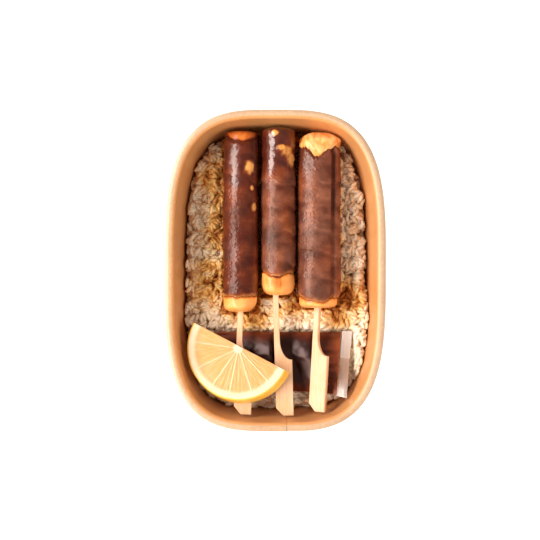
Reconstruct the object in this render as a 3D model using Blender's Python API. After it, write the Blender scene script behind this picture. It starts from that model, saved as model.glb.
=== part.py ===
"""A takeaway meal in its kraft paper tub, in metres, +Z up, +Y towards the far short side.

The tub is a wall blank with a rolled rim and a folded foot, and a base panel whose skirt sits in that
foot. It holds a bed of rice, three skewers (each a bamboo stick, a cheese core and a thin beef wrap),
a clear sachet of sauce and half a slice of lemon. The origin is on the table, under the tub's middle.
"""

import math
import random

import bmesh
import bpy
from mathutils import Matrix, Vector, noise

MM = 0.001
GAP = 0.3 * MM  # between neighbours that touch

# The tub, outside sizes
TUB_LENGTH = 172 * MM
TUB_WIDTH = 118 * MM
TUB_HEIGHT = 50 * MM
PAPER = 0.5 * MM
FLARE = math.tan(math.radians(7.6))
PLAN_POWER = 3.3  # of the rim's rounded oblong: 2 is an oval, and large is square
POWER_RISE = 33  # per metre inwards of it, which keeps the corners' walls as thick as the sides'
PLAN_POINTS = 48
RIM_WIDTH = 5 * MM
RIM_HEIGHT = 4 * MM
RIM_STEPS = 8  # round it, of which the last is its inner side
BASE_LIFT = 5 * MM  # the base panel's underside above the table
HEM_HEIGHT = 4 * MM

# The rice
RICE_FLOOR = BASE_LIFT + PAPER + GAP
RICE_LEVEL = 22.5 * MM
RICE_WALL_GAP = 0.8 * MM
TROUGH_ROOM = 0.9 * MM  # between a roll's mean outside and the rice
GRAIN_LENGTH = 6.4 * MM
GRAIN_WIDTH = 2.9 * MM
GRAIN_SPACING = 7 * MM
GRAIN_SIDES = 5
GRAIN_SUNK = 0.25  # its middle's height above the core, as a share of its width
GRAIN_LEAN = 0.35
RICE_RISE_NEAR = 2.6 * MM  # past the rolls' near ends
RICE_DROP_NEAR = 5.5 * MM  # at the near wall
RICE_RISE_RIGHT = 1.2 * MM
RICE_DROP_LEFT = 1.4 * MM
RICE_LUMP, RICE_LUMP_SIZE = 1.5 * MM, 13 * MM
RICE_BUMP, RICE_BUMP_SIZE = 0.7 * MM, 5 * MM
RICE_SHOULDER = 1.2 * MM  # the core's rounded edge
RICE_SHARES = (0.94, 0.87, 0.8, 0.73, 0.66, 0.58, 0.5, 0.41, 0.31, 0.2)  # of the plan, for its top's rings

# The skewers. Each lies along Y, and its handle end is the higher one, on the sachet.
PITCH = math.radians(2.9)
WRAP = 1.2 * MM  # the beef's thickness
WRAP_LUMP, WRAP_LUMP_SIZE = 0.45 * MM, 11 * MM
WRAP_EDGE = 0.5 * MM  # how much thinner the beef is at its ends
BARE_WAVE = 1.1 * MM  # of the line where the beef ends
CHEESE_LUMP = 0.5 * MM
CHEESE_SPREAD = 1.1 * MM  # to one side, at the right roll's melted far end
ROLL_SECTORS = 18
WRAP_RINGS = 11
SKEWERS = {
    "left": {
        "x": -18.9 * MM, "near_y": -22.6 * MM, "far_y": 75.5 * MM, "far_z": 30.2 * MM,
        "radius": 9.5 * MM, "oval": 1.0, "flap": 0.0,
        "near_bare": (8.7 * MM, 8.0 * MM), "far_bare": (2.5 * MM, 6.6 * MM), "closed": False,
        "stick_x": -22.4 * MM, "stick_y": -77.6 * MM, "yaw": -2.1, "roll": 0,
    },
    "middle": {
        "x": 1.4 * MM, "near_y": -13.5 * MM, "far_y": 76.4 * MM, "far_z": 30.3 * MM,
        "radius": 9.3 * MM, "oval": 1.0, "flap": 0.0,
        "near_bare": (12.6 * MM, 10.4 * MM), "far_bare": (1.5 * MM, 1.5 * MM), "closed": True,
        "stick_x": 0.65 * MM, "stick_y": -78.4 * MM, "yaw": 1.8, "roll": 0,
    },
    "right": {
        "x": 23.1 * MM, "near_y": -20.3 * MM, "far_y": 75.3 * MM, "far_z": 30.4 * MM,
        "radius": 9.7 * MM, "oval": 1.12, "flap": 1.1 * MM,
        "near_bare": (6.5 * MM, 3.2 * MM), "far_bare": (8.5 * MM, 14.5 * MM), "closed": False,
        "stick_x": 18.4 * MM, "stick_y": -75.9 * MM, "yaw": -3.1, "roll": 28,
    },
}

# A bamboo stick: a flat handle that narrows on one side to a thin shaft
STICK_LENGTH = 134 * MM
STICK_THICK = 2.6 * MM
HANDLE_WIDTH = 9.5 * MM
HANDLE_LENGTH = 30 * MM
SHAFT_WIDTH = 3.1 * MM
NECK_LENGTH = 11 * MM
BORE_RADIUS = 2.6 * MM
HANDLE_CUT = (3.8 * MM, 4.3 * MM)  # of its near left corner
SHOULDER = 0.3 * MM  # a flat step where the sweep meets the handle's right edge
POINT_LENGTH = 9 * MM

# The lemon slice
LEMON_CENTRE = Vector((-19.1 * MM, -42.1 * MM, 38.0 * MM))  # of its underside
LEMON_RADIUS = 27.9 * MM
LEMON_THICK = 6 * MM
LEMON_TURN = math.radians(-26.9)
LEMON_TILT = math.radians(6)  # its left side is the lower
LEMON_EXTRA = 1.1 * MM  # how far the cut runs past the middle
LEMON_SPREAD = 1.0 * MM  # how much wider its underside is
LEMON_SKEW = Vector((0.9 * MM, -0.7 * MM))  # how far its underside is moved over, in the tub
LEMON_MEMBRANES = (199, 233, 280, 315)  # degrees from the cut's right end
LEMON_DIP = 0.4 * MM

# The sauce sachet, by the corners of its film, seen from above
SACHET_CORNERS = (
    Vector((-39.5 * MM, -33.0 * MM)),
    Vector((42.4 * MM, -33.1 * MM)),
    Vector((38.6 * MM, -68.9 * MM)),
    Vector((-34.5 * MM, -68.0 * MM)),
)
SACHET_WAIST = 1.8 * MM  # how far filling it draws its near side in
SACHET_FLOOR = 24.6 * MM
SACHET_THICK = 8.2 * MM
SEAL_WIDTH = 6.2 * MM
SEAL_THICK = 0.5 * MM
SEAL_LIFT = 13 * MM  # its near right corner climbs the tub's wall
SACHET_COLUMNS = 20
SACHET_ROWS = 9


def clear_scene():
    for obj in list(bpy.data.objects):
        bpy.data.objects.remove(obj)


def material(name, colour, roughness, metallic=0.0, alpha=1.0):
    made = bpy.data.materials.new(name)
    made.use_nodes = True
    shader = made.node_tree.nodes["Principled BSDF"]
    shader.inputs["Base Color"].default_value = (*colour, 1.0)
    shader.inputs["Roughness"].default_value = roughness
    shader.inputs["Metallic"].default_value = metallic
    shader.inputs["Alpha"].default_value = alpha
    return made


def place(name, bm, finish, matrix=None):
    """A closed mesh as an object, with its faces turned outwards."""
    bmesh.ops.recalc_face_normals(bm, faces=bm.faces)
    mesh = bpy.data.meshes.new(name)
    bm.to_mesh(mesh)
    bm.free()
    if finish:
        mesh.materials.append(finish)
    mesh.shade_smooth()
    mesh.set_sharp_from_angle(angle=math.radians(40))
    obj = bpy.data.objects.new(name, mesh)
    bpy.context.scene.collection.objects.link(obj)
    if matrix is not None:
        obj.matrix_world = matrix
    return obj


def skin(rings, start=None, end=None, looped=False):
    """A mesh through rings of equal length. start and end are poles that close it; looped joins the last
    ring to the first."""
    bm = bmesh.new()
    rows = [[bm.verts.new(point) for point in ring] for ring in rings]
    count = len(rows[0])
    pairs = list(zip(rows, rows[1:]))
    if looped:
        pairs.append((rows[-1], rows[0]))
    for low, high in pairs:
        for i in range(count):
            j = (i + 1) % count
            bm.faces.new((low[i], low[j], high[j], high[i]))
    for pole, ring in ((start, rows[0]), (end, rows[-1])):
        if pole is None:
            continue
        tip = bm.verts.new(pole)
        for i in range(count):
            bm.faces.new((ring[i], ring[(i + 1) % count], tip))
    return bm


def smoothstep(low, high, value):
    t = min(1.0, max(0.0, (value - low) / (high - low)))
    return t * t * (3 - 2 * t)


# The tub


def plan(height, inset):
    """Half the width and length of the wall's outer face at a height, less an inset, and its power."""
    in_by = RIM_WIDTH - PAPER + (TUB_HEIGHT - RIM_HEIGHT / 2 - height) * FLARE + inset
    return TUB_WIDTH / 2 - in_by, TUB_LENGTH / 2 - in_by, PLAN_POWER + POWER_RISE * in_by


def plan_ring(height, inset=0.0, share=1.0):
    half_width, half_length, power = plan(height, inset)
    ring = []
    for i in range(PLAN_POINTS):
        turn = math.tau * i / PLAN_POINTS
        c, s = math.cos(turn), math.sin(turn)
        x = half_width * share * math.copysign(abs(c) ** (2 / power), c)
        y = half_length * share * math.copysign(abs(s) ** (2 / power), s)
        ring.append((x, y, height))
    return ring


def reach(point, inset):
    """How far out a point is in the tub: 1 on the wall's outer face less an inset, and more past it."""
    half_width, half_length, power = plan(point[2], inset)
    return (abs(point[0] / half_width) ** power + abs(point[1] / half_length) ** power) ** (1 / power)


def tub_wall(finish):
    """The wall from its foot up the outside, over the rolled rim, down the inside and round the hem."""
    groove = 2 * GAP + PAPER
    rim = []
    for i in range(RIM_STEPS):
        turn = -math.tau * (i + 1) / RIM_STEPS
        inset = PAPER + RIM_WIDTH / 2 * (math.cos(turn) - 1)
        rim.append((inset, TUB_HEIGHT + RIM_HEIGHT / 2 * (math.sin(turn) - 1)))
    profile = [
        (0.0, 0.0),
        *rim,
        (PAPER, PAPER),
        (PAPER + groove, PAPER),
        (PAPER + groove, HEM_HEIGHT),
        (2 * PAPER + groove, HEM_HEIGHT),
        (2 * PAPER + groove, 0.0),
    ]
    rings = [plan_ring(height, inset) for inset, height in profile]
    return place("box_wall", skin(rings, looped=True), finish)


def tub_base(finish):
    """The base panel, with a skirt that hangs in the wall's folded foot."""
    outer = PAPER + GAP
    low = PAPER + GAP
    rings = [
        plan_ring(BASE_LIFT + PAPER, outer),
        plan_ring(low, outer),
        plan_ring(low, outer + PAPER),
        plan_ring(BASE_LIFT, outer + PAPER),
    ]
    top, under = Vector((0, 0, BASE_LIFT + PAPER)), Vector((0, 0, BASE_LIFT))
    return place("box_base", skin(rings, start=top, end=under), finish)


# The skewers


def roll_length(spec):
    return (spec["far_y"] - spec["near_y"]) / math.cos(PITCH)


def roll_matrix(spec):
    """From a roll's own frame, with Y along it from its near end and Z up, to the tub's."""
    rise = (spec["far_y"] - spec["near_y"]) * math.tan(PITCH)
    near = Vector((spec["x"], spec["near_y"], spec["far_z"] + rise))
    return Matrix.Translation(near) @ Matrix.Rotation(-PITCH, 4, "X")


def bare(spec, end, turn):
    """How much cheese shows past the beef at an end: first at the sides, then on top, uneven between."""
    side, top = spec[end]
    wave = noise.noise(Vector((2.2 * math.cos(turn), 2.2 * math.sin(turn), 9 * spec["x"] / MM)))
    return side + (top - side) * max(0.0, math.sin(turn)) ** 2 + BARE_WAVE * wave


def wrap_radius(spec, turn, along):
    """The beef's outer face: lumpy, with the lengthwise edge of its last layer on the right."""
    seed = spec["x"] / MM
    lump = noise.noise(Vector((1.5 * math.cos(turn), 1.5 * math.sin(turn), along / WRAP_LUMP_SIZE + seed)))
    angle = (math.degrees(turn) + 180) % 360 - 180
    flap = spec["flap"] * smoothstep(-110, -75, angle) * (1 - smoothstep(45, 62, angle))
    return spec["radius"] + WRAP_LUMP * lump + flap


def core_bulge(spec, turn, end):
    """The cheese past the beef: as wide as the beef, and spread to one side at the right roll's far end."""
    seed = spec["x"] / MM + 40 * (end == "far_bare")
    lump = noise.noise(Vector((2 * math.cos(turn), 2 * math.sin(turn), seed)))
    spread = 0.0
    if spec["flap"] and end == "far_bare":
        spread = CHEESE_SPREAD * max(0.0, math.cos(turn - math.radians(20)))
    return spec["radius"] - WRAP_EDGE + CHEESE_LUMP * lump + spread


def turns():
    return [math.tau * i / ROLL_SECTORS for i in range(ROLL_SECTORS)]


def roll_ring(spec, radius, along):
    """A ring of a roll. Its radius and place along are functions of the turn: a quarter turn is the top."""
    return [(spec["oval"] * radius(t) * math.cos(t), along(t), radius(t) * math.sin(t)) for t in turns()]


def press_in(bm, matrix, inset):
    """Moves what would pass the tub's short wall back, as the soft ends press on it."""
    back = matrix.inverted()
    for vert in bm.verts:
        point = matrix @ vert.co
        while reach(point, inset) > 1:
            point.y -= math.copysign(0.1 * MM, point.y)
        vert.co = back @ point


def beef(side, spec, finish):
    """The thin slice of beef round a core: a tube, or a sleeve shut over the far end."""
    length = roll_length(spec)
    inner = spec["radius"] - WRAP
    near = lambda t: bare(spec, "near_bare", t)
    far = lambda t: length - bare(spec, "far_bare", t)
    rings = []
    for i in range(WRAP_RINGS):
        share = i / (WRAP_RINGS - 1)
        along = lambda t: near(t) + share * (far(t) - near(t))
        thin = WRAP_EDGE if i in (0, WRAP_RINGS - 1) and not (spec["closed"] and i) else 0.0
        rings.append(roll_ring(spec, lambda t: wrap_radius(spec, t, along(t)) - thin, along))
    start = end = None
    if spec["closed"]:
        for share, back in ((0.8, 0.7 * MM), (0.45, 0.1 * MM)):
            tip = lambda t: share * wrap_radius(spec, t, length)
            rings.append(roll_ring(spec, tip, lambda t: length - back))
        rings = rings[::-1]
        start = (0, length, 0)
        inner_end = length - WRAP
        end = (0, inner_end, 0)
        rings.append(roll_ring(spec, lambda t: inner, near))
        rings.append(roll_ring(spec, lambda t: inner, lambda t: inner_end - 1 * MM))
        rings.append(roll_ring(spec, lambda t: 0.6 * inner, lambda t: inner_end))
    else:
        rings += [roll_ring(spec, lambda t: inner, far), roll_ring(spec, lambda t: inner, near)]
    bm = skin(rings, start, end, looped=not spec["closed"])
    press_in(bm, roll_matrix(spec), PAPER + 2 * GAP)
    return place(f"beef_{side}", bm, finish, roll_matrix(spec))


def core(side, spec, finish):
    """The cheese core. It is narrower inside the beef, full width past it, and bored for the stick."""
    length = roll_length(spec)
    inner = spec["radius"] - WRAP - GAP
    step = 1.5 * GAP
    near = lambda t: bare(spec, "near_bare", t) - step
    bulge = lambda t: core_bulge(spec, t, "near_bare")
    rings = [
        roll_ring(spec, lambda t: 0.62 * bulge(t), lambda t: 0.2 * MM),
        roll_ring(spec, lambda t: 0.9 * bulge(t), lambda t: 0.9 * MM),
        roll_ring(spec, bulge, lambda t: 0.4 * near(t)),
        roll_ring(spec, bulge, near),
        roll_ring(spec, lambda t: inner, near),
    ]
    if spec["closed"]:
        tip = length - WRAP - GAP
        rings += [
            roll_ring(spec, lambda t: inner, lambda t: tip - 1.4 * MM),
            roll_ring(spec, lambda t: 0.58 * inner, lambda t: tip - 0.2 * MM),
        ]
    else:
        tip = length
        far = lambda t: length - bare(spec, "far_bare", t) + step
        wide = lambda t: core_bulge(spec, t, "far_bare")
        rings += [
            roll_ring(spec, lambda t: inner, far),
            roll_ring(spec, wide, far),
            roll_ring(spec, lambda t: 0.97 * wide(t), lambda t: 0.4 * far(t) + 0.6 * (length - 1.2 * MM)),
            roll_ring(spec, lambda t: 0.85 * wide(t), lambda t: length - 0.9 * MM),
            roll_ring(spec, lambda t: 0.5 * wide(t), lambda t: length - 0.2 * MM),
        ]
    bm = skin(rings, start=(0, 0, 0), end=(0, tip, 0))
    press_in(bm, roll_matrix(spec), PAPER + 2 * GAP + (WRAP + GAP if spec["closed"] else 0))
    obj = place(f"core_{side}", bm, finish, roll_matrix(spec))
    cut(obj, bore_cutter(side, spec))
    return obj


def rod(name, radius, start, length, sides, matrix):
    """A round cutter along Y of a matrix."""
    bm = bmesh.new()
    along = Matrix.Translation((0, start + length / 2, 0)) @ Matrix.Rotation(math.radians(90), 4, "X")
    bmesh.ops.create_cone(
        bm, cap_ends=True, segments=sides, radius1=radius, radius2=radius, depth=length, matrix=along
    )
    obj = place(name, bm, None, matrix)
    obj.hide_render = True
    obj.display_type = "WIRE"
    return obj


def cut(obj, cutter):
    modifier = obj.modifiers.new(cutter.name, "BOOLEAN")
    modifier.operation = "DIFFERENCE"
    modifier.solver = "EXACT"
    modifier.object = cutter


def stick_matrix(spec):
    """From a stick's own frame, with Y along its shaft's axis from the handle's end, to the tub's."""
    height = spec["far_z"] + (spec["far_y"] - spec["stick_y"]) * math.tan(PITCH)
    end = Vector((spec["stick_x"] + SHAFT_WIDTH / 2, spec["stick_y"], height))
    yaw = Matrix.Rotation(math.radians(spec["yaw"]), 4, "Z")
    return Matrix.Translation(end) @ yaw @ Matrix.Rotation(-PITCH, 4, "X")


def bore_cutter(side, spec):
    start = (spec["near_y"] - spec["stick_y"]) / math.cos(PITCH) - 8 * MM
    depth = STICK_LENGTH + 2 * GAP - start
    return rod(f"bore_{side}", BORE_RADIUS, start, depth, 8, stick_matrix(spec))


def stick(side, spec, finish):
    """A flat bamboo stick. Its left edge is straight, and its right edge sweeps in from the handle."""
    left = -SHAFT_WIDTH / 2
    right = left + HANDLE_WIDTH
    outline = [(left, HANDLE_CUT[1]), (left + HANDLE_CUT[0], 0.0), (right, 0.0), (right, HANDLE_LENGTH)]
    sweep = right - SHOULDER - SHAFT_WIDTH / 2
    for i in range(5):
        turn = math.radians(90 - 22.5 * i)
        x = right - SHOULDER - sweep * math.cos(turn)
        outline.append((x, HANDLE_LENGTH + NECK_LENGTH * (1 - math.sin(turn))))
    point = STICK_LENGTH - POINT_LENGTH
    outline += [(SHAFT_WIDTH / 2, point), (0.0, STICK_LENGTH), (left, point)]
    bm = bmesh.new()
    face = bm.faces.new([bm.verts.new((x, y, -STICK_THICK / 2)) for x, y in outline])
    raised = bmesh.ops.extrude_face_region(bm, geom=[face])["geom"]
    up = [v for v in raised if isinstance(v, bmesh.types.BMVert)]
    bmesh.ops.translate(bm, verts=up, vec=(0, 0, STICK_THICK))
    bmesh.ops.triangulate(bm, faces=bm.faces)
    matrix = stick_matrix(spec) @ Matrix.Rotation(math.radians(-spec["roll"]), 4, "Y")
    return place(f"stick_{side}", bm, finish, matrix)


# The rice


def trough_radius(spec):
    return spec["radius"] + spec["flap"] + TROUGH_ROOM


def in_trough(point):
    """Whether a point is nearer to a roll than the trough that the roll lies in."""
    for spec in SKEWERS.values():
        local = roll_matrix(spec).inverted() @ point
        beside = -TROUGH_ROOM < local.y < roll_length(spec) + TROUGH_ROOM
        if beside and math.hypot(local.x / spec["oval"], local.z) < trough_radius(spec):
            return True
    return False


def under_sachet(x, y, margin):
    low, high = SACHET_CORNERS[2].y - margin, SACHET_CORNERS[0].y + margin
    return low < y < high


def rice_height(x, y):
    """The top of the rice core: higher past the rolls' near ends, lower at both short sides."""
    height = RICE_LEVEL + RICE_RISE_NEAR * smoothstep(30 * MM, -14 * MM, y)
    height -= RICE_DROP_NEAR * smoothstep(-64 * MM, -78 * MM, y)
    height += RICE_RISE_RIGHT * smoothstep(-10 * MM, 46 * MM, x)
    height -= RICE_DROP_LEFT * smoothstep(-34 * MM, -52 * MM, x)
    height += RICE_LUMP * noise.noise(Vector((x, y, 0.0)) / RICE_LUMP_SIZE)
    height += RICE_BUMP * noise.noise(Vector((x, y, 5.0)) / RICE_BUMP_SIZE)
    if under_sachet(x, y, 8 * MM):
        height = min(height, SACHET_FLOOR - 1.5 * GAP)
    return height


def rice_core(finish):
    """Flat below, bumpy above, a little clear of the wall, and with a trough under each roll."""
    rings = [plan_ring(RICE_FLOOR, PAPER + RICE_WALL_GAP)]
    for below, inset in ((4 * RICE_SHOULDER, 0.0), (RICE_SHOULDER, RICE_SHOULDER)):
        ring = []
        for x, y, _ in plan_ring(RICE_LEVEL, PAPER + RICE_WALL_GAP + inset):
            height = rice_height(x, y) - below
            uneven = inset * (0.6 + noise.noise(Vector((x, y, 2.0)) / (7 * MM)))
            out = 1 / reach((x, y, height), PAPER + RICE_WALL_GAP + uneven)
            ring.append((x * out, y * out, height))
        rings.append(ring)
    for share in RICE_SHARES:
        ring = plan_ring(RICE_LEVEL, PAPER + RICE_WALL_GAP + RICE_SHOULDER, share)
        rings.append([(x, y, rice_height(x, y)) for x, y, _ in ring])
    middle = Vector((0, 0, rice_height(0, 0)))
    obj = place("rice", skin(rings, start=(0, 0, RICE_FLOOR), end=middle), finish)
    for side, spec in SKEWERS.items():
        cut(obj, trough_cutter(side, spec))
    return obj


def trough_cutter(side, spec):
    length = roll_length(spec) + 2 * TROUGH_ROOM
    cutter = rod(f"trough_{side}", trough_radius(spec), -TROUGH_ROOM, length, 16, roll_matrix(spec))
    cutter.data.transform(Matrix.Diagonal((spec["oval"], 1, 1, 1)))
    return cutter


def grain(matrix, collection, finish):
    bm = bmesh.new()
    bmesh.ops.create_uvsphere(bm, u_segments=GRAIN_SIDES, v_segments=4, radius=0.5)
    obj = place("grain", bm, finish)
    obj.data.transform(matrix)
    bpy.context.scene.collection.objects.unlink(obj)
    collection.objects.link(obj)
    return [v.co for v in obj.data.vertices], obj


def grain_fits(points):
    """Whether a grain keeps clear of the wall, the rolls and the sachet."""
    for p in points:
        if reach(p, PAPER + 0.5 * MM) > 1:
            return False
        if in_trough(p):
            return False
        if under_sachet(p.x, p.y, 1 * MM) and p.z > SACHET_FLOOR - GAP:
            return False
    return True


def rice(finish):
    """The core with loose grains lying on it where the toppings leave it bare, fused into one solid."""
    obj = rice_core(finish)
    grains = bpy.data.collections.new("grains")
    bpy.context.scene.collection.children.link(grains)
    draw = random.Random(7)
    size = Matrix.Diagonal((GRAIN_LENGTH, GRAIN_WIDTH, 0.9 * GRAIN_WIDTH, 1.0))
    columns = int(TUB_WIDTH / GRAIN_SPACING)
    rows = int(TUB_LENGTH / GRAIN_SPACING)
    for row in range(rows):
        for column in range(columns):
            x = (column + 0.5 - columns / 2 + draw.uniform(-0.3, 0.3)) * GRAIN_SPACING
            y = (row + 0.5 - rows / 2 + draw.uniform(-0.3, 0.3)) * GRAIN_SPACING
            turn = Matrix.Rotation(draw.uniform(0, math.pi), 4, "Z")
            lean = Matrix.Rotation(draw.uniform(-GRAIN_LEAN, GRAIN_LEAN), 4, "Y")
            if reach((x, y, RICE_LEVEL), PAPER + 1.5 * MM) > 1:
                continue
            at = Matrix.Translation((x, y, rice_height(x, y) + GRAIN_SUNK * GRAIN_WIDTH))
            points, made = grain(at @ turn @ lean @ size, grains, finish)
            if not grain_fits(points):
                bpy.data.objects.remove(made)
    fuse(obj, grains)
    return obj


def fuse(obj, collection):
    """Joins a collection's solids to an object as cut, keeps the one body that this makes, and clears both
    the solids and the cutters."""
    modifier = obj.modifiers.new("fuse", "BOOLEAN")
    modifier.operation = "UNION"
    modifier.operand_type = "COLLECTION"
    modifier.collection = collection
    modifier.solver = "MANIFOLD"
    bpy.context.view_layer.update()
    graph = bpy.context.evaluated_depsgraph_get()
    joined = bpy.data.meshes.new_from_object(obj.evaluated_get(graph))
    cutters = [m.object for m in obj.modifiers if m.object]
    obj.modifiers.clear()
    obj.data = joined
    for piece in list(collection.objects) + cutters:
        bpy.data.objects.remove(piece)
    bpy.data.collections.remove(collection)
    keep_largest(joined)


def keep_largest(mesh):
    """Drops loose scraps, and the skins of sealed hollows."""
    bm = bmesh.new()
    bm.from_mesh(mesh)
    left, islands = set(bm.verts), []
    while left:
        island, edge = set(), [left.pop()]
        while edge:
            vert = edge.pop()
            island.add(vert)
            for link in vert.link_edges:
                other = link.other_vert(vert)
                if other in left:
                    left.remove(other)
                    edge.append(other)
        islands.append(island)
    islands.sort(key=len)
    bmesh.ops.delete(bm, geom=[v for island in islands[:-1] for v in island], context="VERTS")
    bmesh.ops.triangulate(bm, faces=bm.faces)
    bm.to_mesh(mesh)
    bm.free()


# The sachet


def sachet_lift(across, down):
    """How far the film is bent up, at shares of its length and width, where it meets the tub's corner."""
    return SEAL_LIFT * smoothstep(0.5, 1.0, across) ** 1.5 * smoothstep(0.25, 1.0, down)


def sachet_point(across, down, top):
    far = SACHET_CORNERS[0].lerp(SACHET_CORNERS[1], across)
    near = SACHET_CORNERS[3].lerp(SACHET_CORNERS[2], across)
    flat = far.lerp(near, down)
    flat.y += SACHET_WAIST * down * (1 - abs(2 * across - 1) ** 6)
    seal = SEAL_WIDTH / (SACHET_CORNERS[1].x - SACHET_CORNERS[0].x)
    inside = min(1.0, max(0.0, (across - seal) / (1 - 2 * seal)))
    long_way = max(0.0, 1 - abs(2 * inside - 1) ** 3.2) ** 0.7
    short_way = max(0.0, 1 - abs(2 * down - 1) ** 2.4) ** 0.75
    height = SACHET_FLOOR + sachet_lift(across, down)
    if top:
        height += SEAL_THICK + SACHET_THICK * long_way * short_way
    return Vector((flat.x, flat.y, height))


def sachet(finish):
    """A pillow of film with a flat sealed band at each end, lying on the rice."""
    bm = bmesh.new()
    sheets = []
    for top in (True, False):
        sheet = []
        for i in range(SACHET_COLUMNS):
            across = 0.5 - 0.5 * math.cos(math.pi * i / (SACHET_COLUMNS - 1))
            column = []
            for j in range(SACHET_ROWS):
                down = 0.5 - 0.5 * math.cos(math.pi * j / (SACHET_ROWS - 1))
                column.append(bm.verts.new(sachet_point(across, down, top)))
            sheet.append(column)
        for left, right in zip(sheet, sheet[1:]):
            for j in range(SACHET_ROWS - 1):
                bm.faces.new((left[j], right[j], right[j + 1], left[j + 1]))
        sheets.append(sheet)
    upper, lower = sheets
    for j in (0, SACHET_ROWS - 1):
        for i in range(SACHET_COLUMNS - 1):
            bm.faces.new((upper[i][j], upper[i + 1][j], lower[i + 1][j], lower[i][j]))
    for i in (0, SACHET_COLUMNS - 1):
        for j in range(SACHET_ROWS - 1):
            bm.faces.new((upper[i][j], upper[i][j + 1], lower[i][j + 1], lower[i][j]))
    return place("sachet", bm, finish)


# The lemon


def lemon_outline(radius):
    """The half slice, from the right end of its straight cut round the rind to the left end."""
    overrun = math.asin(LEMON_EXTRA / radius)
    steps = 26
    sweep = math.pi + 2 * overrun
    points = []
    for i in range(steps + 1):
        turn = overrun - sweep * i / steps
        points.append((radius * math.cos(turn), radius * math.sin(turn)))
    for share in (-0.6, -0.25, 0.25, 0.6):
        points.append((share * radius, LEMON_EXTRA))
    return points


def lemon(finish):
    """Half a slice with a rind wider below than above, and the pulp a little lower than its membranes."""
    upper = lemon_outline(LEMON_RADIUS)
    lower = lemon_outline(LEMON_RADIUS + LEMON_SPREAD)
    skew = Matrix.Rotation(-LEMON_TURN, 2) @ LEMON_SKEW

    def dip(x, y, share):
        angle = math.degrees(math.atan2(y, x)) % 360
        near = min(abs(angle - m) for m in LEMON_MEMBRANES)
        return LEMON_DIP * min(1.0, near / 9) if 0.2 < share < 0.86 else 0.0

    rings = []
    for share in (0.3, 0.6, 0.84, 0.88, 1.0):
        rings.append([(x * share, y * share, LEMON_THICK - dip(x, y, share)) for x, y in upper])
    rings.append([(x + skew.x, min(y + skew.y, LEMON_EXTRA), 0.0) for x, y in lower])
    bm = skin(rings, start=(0, 0, LEMON_THICK), end=(0, -2 * MM, 0.0))
    turn = Matrix.Rotation(LEMON_TURN, 4, "Z")
    tilt = Matrix.Rotation(-LEMON_TILT, 4, "Y") @ Matrix.Rotation(-PITCH, 4, "X")
    return place("lemon", bm, finish, Matrix.Translation(LEMON_CENTRE) @ tilt @ turn)


clear_scene()
KRAFT = material("kraft paper", (0.62, 0.33, 0.14), 0.6)
RICE = material("cooked rice", (0.82, 0.68, 0.52), 0.45)
BEEF = material("glazed beef", (0.16, 0.045, 0.018), 0.25)
CHEESE = material("grilled cheese", (0.86, 0.52, 0.18), 0.4)
BAMBOO = material("bamboo", (0.85, 0.65, 0.36), 0.5)
LEMON = material("lemon", (0.87, 0.62, 0.17), 0.35)
SAUCE = material("sauce in film", (0.06, 0.012, 0.006), 0.1)

tub_wall(KRAFT)
tub_base(KRAFT)
rice(RICE)
for side_name, side_spec in SKEWERS.items():
    stick(side_name, side_spec, BAMBOO)
    core(side_name, side_spec, CHEESE)
    beef(side_name, side_spec, BEEF)
sachet(SAUCE)
lemon(LEMON)
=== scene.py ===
import math
import random

import bmesh
import bpy
import numpy as np
from mathutils import Matrix, Vector, noise


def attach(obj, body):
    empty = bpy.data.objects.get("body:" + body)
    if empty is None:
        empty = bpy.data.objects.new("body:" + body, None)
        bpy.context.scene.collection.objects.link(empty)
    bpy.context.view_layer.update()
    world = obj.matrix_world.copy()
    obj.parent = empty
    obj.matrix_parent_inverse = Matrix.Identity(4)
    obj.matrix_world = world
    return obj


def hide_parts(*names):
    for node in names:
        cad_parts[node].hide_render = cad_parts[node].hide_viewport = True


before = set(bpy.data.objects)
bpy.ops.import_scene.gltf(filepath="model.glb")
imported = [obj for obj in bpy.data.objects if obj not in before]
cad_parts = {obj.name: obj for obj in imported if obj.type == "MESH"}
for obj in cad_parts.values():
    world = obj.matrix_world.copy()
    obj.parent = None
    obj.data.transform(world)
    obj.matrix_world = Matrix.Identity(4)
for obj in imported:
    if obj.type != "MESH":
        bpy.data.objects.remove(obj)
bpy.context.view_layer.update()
MM = 0.001

# The table, the lamps and the camera. A white sheet that glows a little stands for the lit table, a wide
# soft lamp shines from the left with a weaker one opposite, and the camera looks straight down at the meal.
TABLE_WIDTH, TABLE_DROP, TABLE_GLOW = 6, 0.05 * MM, 0.85
CAMERA_PLACE, CAMERA_TURN, CAMERA_LENS = (-2.98 * MM, 0.27 * MM, 0.85), math.radians(0.2), 100.2
KEY_PLACE, KEY_SIZE, KEY_POWER = Vector((-0.60, 0.02, 0.56)), (1.10, 0.45), 15.5
FILL_PLACE, FILL_SIZE, FILL_POWER = Vector((0.68, -0.35, 0.60)), (0.9, 0.9), 8.0
SKY_STRENGTH = 0.26


def new_finish(name, **sockets):
    """A material whose shader has these values on its own sockets."""
    finish = bpy.data.materials.new(name)
    finish.use_nodes = True
    shader = finish.node_tree.nodes["Principled BSDF"]
    for key, value in sockets.items():
        shader.inputs[key.replace("_", " ")].default_value = value
    return finish


def add(finish, kind, settings=None, **inputs):
    """A node, with its inputs given by name or, after an i, by number, as values or as other sockets."""
    node = finish.node_tree.nodes.new("ShaderNode" + kind)
    for key, value in (settings or {}).items():
        setattr(node, key, value)
    for key, value in inputs.items():
        socket = node.inputs[int(key[1:]) if key[1:].isdigit() else key.replace("_", " ")]
        if isinstance(value, bpy.types.NodeSocket):
            finish.node_tree.links.new(value, socket)
        else:
            socket.default_value = value
    return node


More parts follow.
